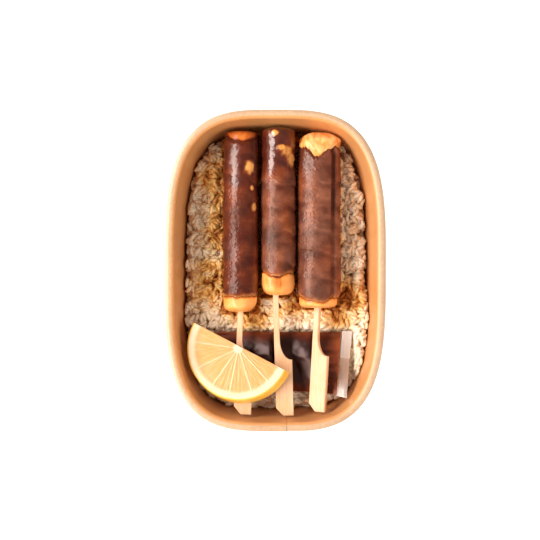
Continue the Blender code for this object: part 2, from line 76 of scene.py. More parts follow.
def plug(finish, **inputs):
    """Links sockets to the finish's own shader."""
    shader = finish.node_tree.nodes["Principled BSDF"]
    for key, value in inputs.items():
        finish.node_tree.links.new(value, shader.inputs[key.replace("_", " ")])


table_finish = new_finish(
    "white_table", Base_Color=(0.8, 0.8, 0.8, 1), Roughness=0.9,
    Emission_Color=(1, 1, 1, 1), Emission_Strength=TABLE_GLOW,
)
bpy.ops.mesh.primitive_plane_add(size=TABLE_WIDTH, location=(0, 0, -TABLE_DROP))
table = bpy.context.object
table.name = "table"
table.data.materials.append(table_finish)

world = bpy.data.worlds.new("studio")
world.use_nodes = True
sky = world.node_tree.nodes["Background"]
sky.inputs["Color"].default_value = (1, 0.96, 0.92, 1)
sky.inputs["Strength"].default_value = SKY_STRENGTH
bpy.context.scene.world = world

for name, place, size, power in (
    ("key_softbox", KEY_PLACE, KEY_SIZE, KEY_POWER),
    ("fill_softbox", FILL_PLACE, FILL_SIZE, FILL_POWER),
):
    lamp = bpy.data.lights.new(name, "AREA")
    lamp.shape = "RECTANGLE"
    lamp.size, lamp.size_y = size
    lamp.energy = power
    lamp.color = (1, 0.97, 0.93)
    softbox = bpy.data.objects.new(name, lamp)
    softbox.location = place
    softbox.rotation_euler = (-place).to_track_quat("-Z", "Y").to_euler()
    softbox.visible_glossy = name == "key_softbox"
    bpy.context.scene.collection.objects.link(softbox)

camera_data = bpy.data.cameras.new("camera")
camera_data.lens = CAMERA_LENS
camera = bpy.data.objects.new("camera", camera_data)
camera.location = CAMERA_PLACE
camera.rotation_euler = (0, 0, CAMERA_TURN)
bpy.context.scene.collection.objects.link(camera)
bpy.context.scene.camera = camera
bpy.context.scene.view_settings.view_transform = "Standard"

# The tub's wall. A strip of brown kraft board, lined inside, is bent round to a lapped joint at the near
# end, its top edge is rolled outwards into the rim, and its foot is folded in round the base.
TUB_LENGTH, TUB_WIDTH, TUB_HEIGHT = 172 * MM, 118 * MM, 50 * MM
PAPER = 0.5 * MM
GAP = 0.3 * MM
FLARE = math.tan(math.radians(7.6))
PLAN_POWER = 3.3
POWER_RISE = 33
RIM_WIDTH, RIM_HEIGHT = 5 * MM, 4 * MM
OUTER_STEPS, RIM_STEPS, INNER_STEPS = 14, 28, 22
LINED_FROM = 8
HEM_HEIGHT = 4 * MM
BASE_LIFT = 5 * MM
LAP_AT, LAP_FADE, LAP_STEP, LAP_EDGE = 6.2 * MM, 13 * MM, 0.42 * MM, 0.12 * MM
# how far the lap seam's edge is painted darker: painted shade in the lap's step
SEAM_SHADE = 0.8
AROUND = 320


def plan(height, inset):
    """Half the width and length of the wall's outer face at a height, less an inset, and its power."""
    in_by = RIM_WIDTH - PAPER + (TUB_HEIGHT - RIM_HEIGHT / 2 - height) * FLARE + inset
    return TUB_WIDTH / 2 - in_by, TUB_LENGTH / 2 - in_by, PLAN_POWER + POWER_RISE * in_by


def reach(x, y, height, inset):
    """How far out a point is in the tub: 1 on the wall's outer face less an inset, and more past it."""
    half_width, half_length, power = plan(height, inset)
    return (np.abs(x / half_width) ** power + np.abs(y / half_length) ** power) ** (1 / power)


def outline(height, inset, turns, share=1.0):
    """A ring of points on the wall less an inset, or a share of the way out to it."""
    half_width, half_length, power = plan(height, inset)
    c, s = np.cos(turns), np.sin(turns)
    x = half_width * share * np.sign(c) * np.abs(c) ** (2 / power)
    y = half_length * share * np.sign(s) * np.abs(s) ** (2 / power)
    return np.stack([x, y, np.full_like(x, height)], axis=1)


def even_turns(count):
    """Turns that space points evenly along the rim."""
    dense = np.linspace(0, math.tau, 20001)
    points = outline(TUB_HEIGHT, 0, dense)
    walked = np.concatenate([[0], np.cumsum(np.linalg.norm(np.diff(points, axis=0), axis=1))])
    return np.interp(np.arange(count) / count * walked[-1], walked, dense)


def build(name, points, faces, finish, sharp=None):
    """A shown mesh at the origin with its faces turned outwards, riding on the part."""
    mesh = bpy.data.meshes.new(name)
    mesh.from_pydata([tuple(p) for p in points], [], faces)
    bm = bmesh.new()
    bm.from_mesh(mesh)
    bmesh.ops.recalc_face_normals(bm, faces=bm.faces)
    bm.to_mesh(mesh)
    bm.free()
    mesh.materials.append(finish)
    mesh.shade_smooth()
    if sharp:
        mesh.set_sharp_from_angle(angle=math.radians(sharp))
    obj = bpy.data.objects.new(name, mesh)
    bpy.context.scene.collection.objects.link(obj)
    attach(obj, "root")
    return obj


def loft(rings, loop=False, start=None, end=None):
    """Points and faces through rings of equal length, closed round, with poles that close the ends."""
    rings = np.asarray(rings)
    rows, count = rings.shape[:2]
    points = list(rings.reshape(-1, 3))
    faces = []
    for r in range(rows if loop else rows - 1):
        below, above = r * count, (r + 1) % rows * count
        for i in range(count):
            j = (i + 1) % count
            faces.append((below + i, below + j, above + j, above + i))
    for pole, row in ((start, 0), (end, rows - 1)):
        if pole is None:
            continue
        points.append(np.asarray(pole))
        tip = len(points) - 1
        for i in range(count):
            faces.append((row * count + i, row * count + (i + 1) % count, tip))
    return points, faces


def tag(obj, **values):
    """Stores a number for each point of a mesh, for its finish to read."""
    for name, numbers in values.items():
        attribute = obj.data.attributes.new(name, "FLOAT", "POINT")
        attribute.data.foreach_set("value", np.asarray(numbers, dtype=np.float32))


def stored(finish, name, output="Fac"):
    """What tag stored under a name at each point."""
    return add(finish, "Attribute", {"attribute_name": name}).outputs[output]


def position(finish):
    """Where a point is on the object."""
    return add(finish, "TexCoord").outputs["Object"]


def mottle(finish, place, scale, detail, kind="FBM", **inputs):
    """Soft noise, or ridged noise by kind, as one number."""
    node = add(finish, "TexNoise", {"noise_type": kind}, Vector=place, Scale=scale, Detail=detail, **inputs)
    return node.outputs[0]


def scaled(finish, value, factor, plus=0.0):
    """A value times a factor, plus another value."""
    return add(finish, "Math", {"operation": "MULTIPLY_ADD"}, i0=value, i1=factor, i2=plus).outputs[0]


def mixed(finish, share, first, second, kind="MIX"):
    """The first colour with a share of the second, or tinted by it with MULTIPLY."""
    return add(finish, "MixRGB", {"blend_type": kind}, Fac=share, Color1=first, Color2=second).outputs[0]


def shades(finish, value, *stops):
    """The colour for a value, between stops of a position and a colour in rising order."""
    node = add(finish, "ValToRGB", Fac=value)
    elements = node.color_ramp.elements
    for element, (at, colour) in zip(elements, (stops[0], stops[-1])):
        element.position = at
        element.color = (*colour, 1)
    for at, colour in stops[1:-1]:
        elements.new(at).color = (*colour, 1)
    return node.outputs[0]


def relief(finish, height, strength, distance, **settings):
    """A fine bump for the shader's normal."""
    return add(finish, "Bump", settings, Strength=strength, Distance=distance, Height=height).outputs[0]


def kraft_finish():
    """Unbleached board: short fibres in two browns; golden inside under the lining, deepened with painted
    warm bounce light; duller outside; painted shade along the lap seam's edge.
    """
    finish = new_finish("kraft_board", Roughness=0.5, Coat_Weight=0.7, Coat_Roughness=0.35)
    place = position(finish)
    fibres = add(finish, "Mapping", i0=place, i3=(260, 260, 1500)).outputs[0]
    fine = mottle(finish, fibres, 2.2, 6, Roughness=0.7)
    cloudy = scaled(finish, mottle(finish, place, 55, 3), 0.45, -0.2)
    total = scaled(finish, fine, 1.0, cloudy)
    browns = shades(finish, total, (0.3, (0.47, 0.28, 0.155)), (0.72, (0.62, 0.39, 0.23)))
    # inside, the lining's own golden tint is deepened further: painted warm bounce light
    lined = mixed(finish, stored(finish, "lining"), browns, (1.20, 0.84, 0.48, 1), "MULTIPLY")
    # duller outside, and darker on the lap seam's edge as painted shade
    dulled = mixed(finish, stored(finish, "outside"), lined, (0.50, 0.45, 0.38, 1), "MULTIPLY")
    plug(finish, Base_Color=dulled, Normal=relief(finish, fine, 0.18, 0.2 * MM))
    return finish


kraft = kraft_finish()
turns = even_turns(AROUND)
rim_walk = outline(TUB_HEIGHT, 0, turns)
lap_turns = [
    np.interp(LAP_AT + step, rim_walk[AROUND // 2 :, 0], turns[AROUND // 2 :])
    for step in (-3 * LAP_EDGE, -LAP_EDGE / 2, LAP_EDGE / 2, 3 * LAP_EDGE)
]
seam_turns = lap_turns[1:3]
lap_turns = np.sort(np.concatenate([turns, lap_turns]))
on_seam = np.isin(lap_turns, seam_turns)
groove = 2 * GAP + PAPER
profile = []
for height in np.linspace(0, TUB_HEIGHT - RIM_HEIGHT, OUTER_STEPS):
    profile.append((0.0, height))
for i in range(RIM_STEPS):
    turn = math.radians(-45 - 315 * i / (RIM_STEPS - 1))
    inset = PAPER + RIM_WIDTH / 2 * (math.cos(turn) - 1)
    profile.append((inset, TUB_HEIGHT + RIM_HEIGHT / 2 * (math.sin(turn) - 1)))
for height in np.linspace(TUB_HEIGHT - RIM_HEIGHT, PAPER, INNER_STEPS):
    profile.append((PAPER, height))
profile += [
    (PAPER + groove, PAPER),
    (PAPER + groove, HEM_HEIGHT),
    (2 * PAPER + groove, HEM_HEIGHT),
    (2 * PAPER + groove, 0.0),
]
first_inner = OUTER_STEPS + RIM_STEPS // 2
foot = OUTER_STEPS + RIM_STEPS + INNER_STEPS
rings = []
for k, (inset, height) in enumerate(profile):
    ring = outline(height, inset, lap_turns)
    lapped = (ring[:, 1] < 0) & (ring[:, 0] > LAP_AT) & (OUTER_STEPS <= k < foot)
    lap = np.where(lapped, np.clip(1 - (ring[:, 0] - LAP_AT) / LAP_FADE, 0, 1), 0)
    ring[:, 1] += lap * LAP_STEP * (1 if k >= first_inner else 0.6)
    rings.append(ring)
wall = build("tub_wall", *loft(rings, loop=True), kraft, sharp=50)
# rows inside the tub under the lining, painted deeper golden: the lining's colour with painted warm bounce
# light
lined = np.zeros(len(profile))
lined[first_inner + LINED_FROM :] = 1
outside = np.zeros(len(profile))
outside[: OUTER_STEPS + RIM_STEPS // 6] = 1
# the seam's edge is darkened along with the outside: painted shade in the lap's step
dull = np.maximum(outside[:, None], SEAM_SHADE * on_seam[None, :])
tag(wall, lining=np.repeat(lined, len(lap_turns)), outside=dull.ravel())
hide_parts("box_wall")

# The tub's base. A flat kraft panel whose edge is turned down and glued inside the folded foot, 5 mm up.
outer = PAPER + GAP
rings = [outline(BASE_LIFT + PAPER, outer, turns, share) for share in (0.25, 0.5, 0.75, 0.97)]
rings += [outline(BASE_LIFT + PAPER, outer, turns), outline(outer, outer, turns)]
rings += [outline(outer, outer + PAPER, turns), outline(BASE_LIFT, outer + PAPER, turns)]
rings += [outline(BASE_LIFT, outer + PAPER, turns, share) for share in (0.97, 0.6, 0.3)]
points, faces = loft(rings, start=(0, 0, BASE_LIFT + PAPER), end=(0, 0, BASE_LIFT))
base = build("tub_base", points, faces, kraft, sharp=40)
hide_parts("box_base")

# The skewers' beef. A thin slice is rolled round each cheese core and grilled with a sweet dark glaze,
# glossy on the left roll and the middle one's tip. Each roll leans on the rice with its near end higher.
PITCH = math.radians(2.9)
WRAP, WRAP_LUMP, WRAP_LUMP_SIZE = 1.2 * MM, 0.45 * MM, 11 * MM
ROLL_SECTORS, ROLL_STEPS, EDGE_ROUNDING = 190, 340, 0.85
CLOSED_TIP, CLOSED_EXTRA, CLOSED_WALL, CLOSED_INSIDE = 3.6 * MM, 1.4 * MM, 1.6 * MM, 2.6 * MM
# Each roll's place and size; in mm, how much cheese is bare at its sides and on top at either end, and where
# folds cross it; its gloss near the top, and what that falls towards on the right side; how strong the net
# of dried glaze is, and how far along in mm; and how red and how dark the meat is.
ROLLS = {
    "left": {
        "x": -18.9 * MM, "near_y": -22.6 * MM, "far_y": 75.5 * MM, "far_z": 30.2 * MM,
        "radius": 9.5 * MM, "oval": 1.0, "flap": 0.0, "near_bare": (8.7, 8.0), "far_bare": (2.5, 6.6),
        "folds": (14.0, 32.0, 44.0, 72.0, 85.0), "fold_high": 0.16, "glaze": 0.68, "glaze_to": 0.76,
        "net": 0.9, "net_to": 68, "red": 0.95, "dark": 0.20,
    },
    "middle": {
        "x": 1.4 * MM, "near_y": -13.5 * MM, "far_y": 76.4 * MM, "far_z": 30.3 * MM,
        "radius": 9.3 * MM, "oval": 1.0, "flap": 0.0, "near_bare": (12.6, 10.4), "far_bare": (0.0, 0.0),
        "folds": (18.5, 34.0, 47.5, 60.0, 73.0), "fold_high": 0.50, "glaze": 0.62, "glaze_to": -0.35,
        "net": 0.45, "net_to": 82, "red": 0.35, "dark": 0.0,
    },
    "right": {
        "x": 23.1 * MM, "near_y": -20.3 * MM, "far_y": 75.3 * MM, "far_z": 30.4 * MM,
        "radius": 9.7 * MM, "oval": 1.12, "flap": 1.1 * MM,
        "near_bare": (6.5, 3.2), "far_bare": (8.5, 14.5),
        "folds": (15.5, 30.0, 42.0, 56.0, 69.0), "fold_high": 0.45, "glaze": 0.55, "glaze_to": -0.25,
        "net": 0.8, "net_to": 90, "red": 0.12, "dark": 0.0,
    },
}
# Where the cheese shows through: at an angle in degrees and mm along, half its width and length in mm, and
# how thin the beef is there.
WINDOWS = {
    "left": ((60, 78.0, 3.3, 4.2, 0.95), (51, 67.0, 1.4, 1.8, 0.8), (40, 56.7, 2.2, 2.8, 0.8)),
    "middle": (
        (80, 79.6, 2.8, 2.0, 0.85), (60, 77.6, 4.2, 3.6, 0.62),
        (42, 73.4, 3.6, 4.6, 0.62), (102, 87.6, 2.4, 2.0, 0.95),
    ),
    "right": (),
}


def smoothstep(low, high, value):
    """0 up to low, 1 from high on, and a smooth rise between them; low may be the greater."""
    t = np.clip((value - low) / (high - low), 0, 1)
    return t * t * (3 - 2 * t)


def rough(x, y, z=0.0):
    """Smooth noise at arrays of points."""
    x, y, z = np.broadcast_arrays(x, y, z)
    flat = [noise.noise(Vector(p)) for p in zip(x.ravel(), y.ravel(), z.ravel())]
    return np.array(flat).reshape(x.shape)


def roll_length(roll):
    """From the near cheese end to the far one, along the roll's slope."""
    return (roll["far_y"] - roll["near_y"]) / math.cos(PITCH)


def roll_matrix(roll):
    """From a roll's own frame, with Y along it from its near end and Z up, to the tub's."""
    rise = (roll["far_y"] - roll["near_y"]) * math.tan(PITCH)
    near = Vector((roll["x"], roll["near_y"], roll["far_z"] + rise))
    return np.array(Matrix.Translation(near) @ Matrix.Rotation(-PITCH, 4, "X"))


def in_tub(points, roll, inset):
    """Points of a roll's own frame in the tub's, with what would pass the short walls moved back."""
    matrix = roll_matrix(roll)
    shape = points.shape
    flat = points.reshape(-1, 3) @ matrix[:3, :3].T + matrix[:3, 3]
    for _ in range(60):
        over = reach(flat[:, 0], flat[:, 1], flat[:, 2], inset) > 1
        if not over.any():
            break
        flat[over, 1] -= np.sign(flat[over, 1]) * 0.1 * MM
    return flat.reshape(shape)


def sectors(count):
    """Even turns round a roll, from its underside on."""
    return np.linspace(0, math.tau, count, endpoint=False) - math.pi / 2


def bare(roll, end, turn):
    """How much cheese shows past the beef at an end, in mm."""
    side, top = roll[end]
    power, tear = (7, 1.3) if roll["flap"] and end == "far_bare" else (2, 0.25)
    wave = rough(2.2 * np.cos(turn), 2.2 * np.sin(turn), 9 * roll["x"] / MM)
    ragged = rough(7 * np.cos(turn), 7 * np.sin(turn), 4 * roll["x"] / MM)
    return side + (top - side) * np.clip(np.sin(turn), 0, 1) ** power + wave + tear * ragged


def around(roll, radius, turn, along):
    """Points of a roll's own frame at this radius, turn and way along it."""
    point = np.broadcast_arrays(roll["oval"] * radius * np.cos(turn), along, radius * np.sin(turn))
    return np.stack(point, axis=-1)


def beef_surface(roll, turn, along):
    """The beef's outer face: its height in mm over the roll's radius, how much painted shade darkens it in
    fold dips and the flap's groove, and how netted it is.
    """
    seed = roll["x"] / MM
    c, s = np.cos(turn), np.sin(turn)
    mm = along / MM
    lump = rough(1.5 * c, 1.5 * s, along / WRAP_LUMP_SIZE + seed)
    angle = (np.degrees(turn) + 180) % 360 - 180
    # the slice's loose edge: a flap on the right, with a groove between it and the roll
    flap = roll["flap"] / MM * smoothstep(-110, -75, angle) * (1 - smoothstep(34, 40, angle))
    if roll["flap"]:
        deep = 0.35 + 0.65 * smoothstep(44, 56, mm)
        flap = flap + deep * (0.9 * smoothstep(51, 57, angle) * smoothstep(100, 60, angle))
        flap = flap - deep * 0.8 * smoothstep(36, 42, angle) * smoothstep(56, 50, angle)
    # folds across the roll, each a crest that fades along it behind a dip whose colour is darkened with
    # painted shade
    bend = 3.2 * rough(1.1 * c, 1.1 * s, mm / 40 + seed) + 1.2 * c
    crest = np.zeros_like(mm)
    shaded = np.zeros_like(mm)
    for number, at in enumerate(roll["folds"]):
        strength = 0.55 + 1.2 * np.clip(rough(0.8 * c + 3 * number, 0.8 * s, seed), -0.3, 0.6) + 0.45 * c
        strength = np.clip(strength, 0, 1)
        past = mm + bend - at
        crest += strength * np.where(past > 0, np.exp(-past / 4.5), 0) * smoothstep(0, 0.6, past)
        crest -= strength * 0.45 * np.exp(-(((past + 1.2) / 1.3) ** 2))
        shaded = np.maximum(shaded, strength * np.exp(-(((past + 1.4) / 2.0) ** 2)))
        shaded = shaded - 0.5 * strength * np.exp(-(((past - 0.9) / 0.7) ** 2))
    # fibres of the meat, wrinkles, and the fine net that the glaze dries to
    fibres = rough(1.3 * c, 1.3 * s, mm * 1.25 + seed) * (0.3 + crest)
    wrinkle = rough(3.2 * c, 3.2 * s, mm / 2.6 + seed)
    veins = 1 - 2.2 * np.abs(rough(4.4 * c + seed, 4.4 * s, mm / 2.1))
    netted = roll["net"] * smoothstep(roll["net_to"] + 4, roll["net_to"] - 4, mm)
    netted = netted * smoothstep(0.35, -0.25, c)
    out = WRAP_LUMP / MM * lump + flap + roll["fold_high"] * crest + 0.07 * fibres + 0.13 * wrinkle
    # the groove beside the flap is darkened as well: painted shade
    if roll["flap"]:
        shaded = np.maximum(shaded, 2.6 * deep * smoothstep(34, 42, angle) * smoothstep(57, 51, angle))
    return out + 0.13 * netted * np.clip(veins, -0.4, 1), shaded, netted


def beef_finish():
    """Grilled beef: dull brown or glazed deep red, wet where the glaze pools, orange where cheese shows."""
    finish = new_finish(
        "glazed_beef", IOR=1.5, Specular_Tint=(1.0, 0.67, 0.55, 1), Coat_Roughness=0.10,
        Subsurface_Weight=0.06, Subsurface_Scale=2 * MM,
    )
    place = position(finish)
    gloss = stored(finish, "gloss")
    cheese = stored(finish, "cheese")
    meat = add(finish, "Mapping", i0=place, i3=(1.0, 1.5, 1.0)).outputs[0]
    blotch = mottle(finish, meat, 110, 4, Roughness=0.5)
    fleck = mottle(finish, place, 800, 3)
    # the stored tone carries painted shade in the folds and painted fill light on the right side, besides
    # the meat's own tone
    level = scaled(finish, blotch, 0.85, stored(finish, "tone"))
    dull = shades(
        finish, level, (0.25, (0.055, 0.016, 0.010)), (0.45, (0.095, 0.028, 0.015)),
        (0.66, (0.190, 0.065, 0.037)), (0.95, (0.36, 0.150, 0.088)),
    )
    glazed = shades(
        finish, level, (0.25, (0.062, 0.008, 0.003)), (0.45, (0.110, 0.016, 0.004)),
        (0.66, (0.190, 0.036, 0.008)), (0.95, (0.38, 0.10, 0.02)),
    )
    meats = mixed(finish, stored(finish, "red"), dull, glazed)
    cheeses = shades(
        finish, scaled(finish, fleck, 0.7, cheese), (0.45, (0.44, 0.075, 0.008)), (1.0, (0.86, 0.36, 0.08))
    )
    wet = add(finish, "MapRange", Value=gloss, To_Min=0.60, To_Max=0.34).outputs[0]
    mesh = mottle(finish, place, 620, 2, "RIDGED_MULTIFRACTAL")
    wrinkles = scaled(finish, mesh, stored(finish, "net"))
    height = scaled(finish, wrinkles, 0.9, scaled(finish, fleck, 0.35, blotch))
    bump = relief(finish, height, 0.7, 0.5 * MM)
    pooled = add(finish, "Math", {"operation": "POWER"}, i0=gloss, i1=4.5).outputs[0]
    plug(finish, Base_Color=mixed(finish, cheese, meats, cheeses), Roughness=wet, Normal=bump)
    plug(finish, Coat_Weight=pooled, Coat_Normal=bump)
    return finish


beef = beef_finish()
for side, roll in ROLLS.items():
    closed = side == "middle"
    length = roll_length(roll) + (CLOSED_EXTRA if closed else 0)
    turn = sectors(ROLL_SECTORS)
    share = np.linspace(0, 1, ROLL_STEPS)[:, None]
    near = bare(roll, "near_bare", turn) * MM
    far = length - (0 if closed else bare(roll, "far_bare", turn) * MM)
    along = near + share * (far - near)
    turns_2d = np.broadcast_to(turn, along.shape)
    out, shaded, net = beef_surface(roll, turns_2d, along)
    edge = np.minimum(along - near, 1.0 if closed else far - along)
    out = out - EDGE_ROUNDING * (1 - smoothstep(0, 2.0 * MM, edge))
    window = np.zeros_like(out)
    for angle, at, half_wide, half_long, thin in WINDOWS[side]:
        across = (turns_2d - math.radians(angle) + math.pi) % math.tau - math.pi
        off = np.hypot(across * roll["radius"] / MM / half_wide, (along / MM - at) / half_long)
        off = off + 0.3 * rough(along / MM / 2.6, across * 4, angle)
        window = np.maximum(window, thin * (1 - smoothstep(0.4, 1.2, off)))
        pleats = 0.3 * rough(turns_2d * 9, along / (7 * MM), angle) if closed else 0.0
        out = out + (0.4 + pleats) * np.clip(1 - off**2, -0.2, 1) * (off < 1.5)
    window = np.maximum(window, 0.42 * (1 - smoothstep(0.1 * MM, 2.6 * MM, along - near)))
    radius = roll["radius"] + MM * out
    if closed:
        close = np.clip((along - (length - CLOSED_TIP)) / CLOSED_TIP, 0, 1)
        radius = radius * np.sqrt(np.clip(1 - close**3.4, 0, 1)) + 0.2 * MM * (close >= 1)
    outer = around(roll, radius, turn, along)
    inner = roll["radius"] - WRAP
    rim_near = around(roll, inner, turn, near)[None]
    if closed:
        inside_tip = around(roll, inner, turn, length - CLOSED_INSIDE)[None]
        grid = np.concatenate([outer[::-1], rim_near, inside_tip])
        ends = {"start": (0, length, 0), "end": (0, length - CLOSED_WALL, 0)}
    else:
        grid = np.concatenate([outer, around(roll, inner, turn, far)[None], rim_near])
        ends = {"loop": True}
    points, faces = loft(grid, **ends)
    points = in_tub(np.array(points), roll, PAPER + 1.5 * GAP)
    obj = build(f"beef_{side}_glazed", points, faces, beef)
    facing = -np.cos(turns_2d)
    cloud = rough(1.2 * np.cos(turns_2d), 1.2 * np.sin(turns_2d), along / (16 * MM) + roll["x"] / MM)
    tip = smoothstep(0.66, 0.80, along / length) * (1.0 if closed else 0.25)
    glaze = roll["glaze"] + (roll["glaze"] - roll["glaze_to"]) * 0.5 * (facing - 0.4) * (1 - tip)
    # tone: painted fill light lightens each roll's right side, painted shade darkens the fold dips, and the
    # tip's glaze and random clouds are the meat's own
    tone = 0.125 + 0.12 * np.clip(-facing, 0, 1) - 0.15 * shaded + 0.16 * cloud - 0.26 * tip - roll["dark"]
    gloss = np.clip(glaze + 0.5 * tip + 0.25 * cloud + 0.5 * window, 0, 1)
    red = np.clip(roll["red"] + 0.7 * cloud + 0.75 * tip + 0.25 * np.abs(facing) ** 3, 0, 1)
    looks = (
        ("gloss", gloss, 0.5), ("red", red, 0.5), ("tone", tone, 0.0),
        ("cheese", window, 0.0), ("net", net, 0.0),
    )
    for key, values, inside_value in looks:
        seen = (values[::-1] if closed else values).ravel()
        tag(obj, **{key: np.append(seen, np.full(len(points) - seen.size, inside_value))})
    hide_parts(f"beef_{side}")

# The skewers' cheese cores. Firm grilled cheese that has swollen and run a little past the beef at both
# ends, pale where it is thick and browned along the beef's edge; the right one has burst at its far end.
CORE_SECTORS, CORE_STEPS = 140, 44
CORE_TIP = 3.4 * MM
LOBE_ANGLE, LOBE_AT, LOBE_WIDE, LOBE_LONG, LOBE_HIGH = 14, 91.2 * MM, 34, 3.6 * MM, 2.5 * MM
STREAK_ANGLE, STREAK_WIDE = 94, 19


def cheese_finish():
    """Molten cheese that has set: pale gold, orange to brown where it caught the heat, and oily."""
    finish = new_finish(
        "grilled_cheese", IOR=1.42, Roughness=0.3, Subsurface_Weight=0.3,
        Subsurface_Scale=3 * MM, Subsurface_Radius=(1.0, 0.4, 0.12),
    )
    place = position(finish)
    tone = scaled(finish, mottle(finish, place, 230, 4), 0.35, stored(finish, "brown"))
    tones = shades(
        finish, tone, (0.12, (0.91, 0.46, 0.17)), (0.42, (0.86, 0.32, 0.07)),
        (0.74, (0.50, 0.115, 0.014)), (1.0, (0.14, 0.020, 0.005)),
    )
    plug(finish, Base_Color=tones, Normal=relief(finish, mottle(finish, place, 620, 3), 0.3, 0.5 * MM))
    return finish


def cheese_end(roll, side, far_end):
    """Rings from inside the beef out to the end, in the roll's own frame, and how browned each point is."""
    length = roll_length(roll)
    turn = sectors(CORE_SECTORS)
    bared = bare(roll, "far_bare" if far_end else "near_bare", turn) * MM
    burst = side == "right" and far_end
    seed = roll["x"] / MM + 40 * far_end
    c, s = np.cos(turn), np.sin(turn)
    rings, browns = [], []
    for share in np.linspace(-0.3, 1, CORE_STEPS):
        out = share * bared
        beyond = max(share, 0.0)
        rounding = (1 - beyond ** (3.0 if burst else 6.0)) ** (1 / (2.4 if burst else 3.2))
        if side == "left" and not far_end:
            rounding = rounding * (1 - 0.34 * beyond**2 * np.clip(c, 0, 1))
        lump = rough(2 * c, 2 * s, seed + out / (6 * MM))
        radius = roll["radius"] - 0.5 * MM + 0.5 * MM * lump
        y = length - bared + out if far_end else bared - out
        creases = rough(3 * c, 3 * s, seed + out / (3.2 * MM))
        if burst:
            lobe = ((np.degrees(turn) - LOBE_ANGLE) / LOBE_WIDE) ** 2 + ((y - LOBE_AT) / LOBE_LONG) ** 2
            radius = radius + LOBE_HIGH * np.exp(-lobe) + 0.7 * MM * creases
        tucked = roll["radius"] - WRAP - GAP
        radius = np.where(share < 0, tucked, tucked + (radius - tucked) * smoothstep(0, 0.05, share))
        radius = radius * rounding
        rings.append(around(roll, radius, turn, y))
        browned = (0.06 if burst else 0.48) * (1 - smoothstep(0.0, 1.7 * MM, out)) + 0.12 * np.abs(c) ** 3
        browned = browned + (0.30 if burst else 0.06) * smoothstep(0.1, -0.3, creases)
        browned = browned + (0.0 if far_end else 0.12)
        if burst:
            browned = browned - 0.12 + 0.22 * smoothstep(0.7, 1.0, -c)
        if side == "left" and far_end:
            browned = browned + 0.48 + 0.25 * np.abs(c + 0.1) ** 2
        if side == "middle":
            streak = np.exp(-((np.degrees(turn) - STREAK_ANGLE) / STREAK_WIDE) ** 2)
            streak = streak * (1 - smoothstep(0.35, 1.0, share))
            browned = browned + 0.65 * streak * (0.6 + 0.8 * np.clip(rough(14 * c, 14 * s, 3.0), -0.5, 0.5))
        browns.append(browned)
    return rings, browns


cheese = cheese_finish()
for side, roll in ROLLS.items():
    near_rings, near_browns = cheese_end(roll, side, False)
    if side == "middle":
        inner = roll["radius"] - WRAP - GAP
        turn = sectors(CORE_SECTORS)
        tip = roll_length(roll) - CORE_TIP
        rounding = ((1.0, -2 * MM), (0.9, -0.5 * MM), (0.6, 0.2 * MM))
        far_rings = [around(roll, inner * size, turn, tip + past) for size, past in rounding]
        far_browns = [np.ones_like(turn)] * len(rounding)
        tip += 0.3 * MM
    else:
        far_rings, far_browns = cheese_end(roll, side, True)
        tip = roll_length(roll)
    rings = near_rings[::-1] + far_rings
    points, faces = loft(rings, start=(0, 0, 0), end=(0, tip, 0))
    points = in_tub(np.array(points), roll, PAPER + 1.5 * GAP)
    obj = build(f"cheese_{side}", points, faces, cheese)
    browns = np.concatenate([np.concatenate(near_browns[::-1]), np.concatenate(far_browns), [0.1, 0.3]])
    tag(obj, brown=browns)
    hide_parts(f"core_{side}")

# The bamboo sticks. Each is split bamboo, cut flat with a broad handle that sweeps in on one side to a thin
# shaft, pale straw with fine lengthwise fibres, and pushed through the cheese from its near end.
STICK_LENGTH, STICK_THICK = 134 * MM, 2.6 * MM
HANDLE_WIDTH, HANDLE_LENGTH = 9.5 * MM, 30 * MM
SHAFT_WIDTH, NECK_LENGTH, SHOULDER, POINT_LENGTH = 3.1 * MM, 11 * MM, 0.3 * MM, 9 * MM
HANDLE_CUT, STICK_EDGE = (3.8 * MM, 4.3 * MM), 0.22 * MM
NECK_STEPS = 20
STICKS = {
    "left": {"x": -22.4 * MM, "y": -77.6 * MM, "yaw": -2.1, "roll": 0},
    "middle": {"x": 0.65 * MM, "y": -78.4 * MM, "yaw": 1.8, "roll": 0},
    "right": {"x": 18.4 * MM, "y": -75.9 * MM, "yaw": -3.1, "roll": 28},
}


def bamboo_finish():
    """Split bamboo: pale straw, with fine fibres along the stick."""
    finish = new_finish("bamboo", Roughness=0.55, Subsurface_Weight=0.05, Subsurface_Scale=2 * MM)
    place = position(finish)
    fibres = add(finish, "Mapping", i0=place, i3=(1900, 55, 1900)).outputs[0]
    grain = mottle(finish, fibres, 1.0, 4, Roughness=0.6)
    tone = scaled(finish, mottle(finish, place, 120, 2), 0.35, grain)
    tones = shades(finish, tone, (0.4, (0.68, 0.34, 0.12)), (0.85, (0.80, 0.49, 0.31)))
    plug(finish, Base_Color=tones, Normal=relief(finish, grain, 0.25, 0.2 * MM))
    return finish


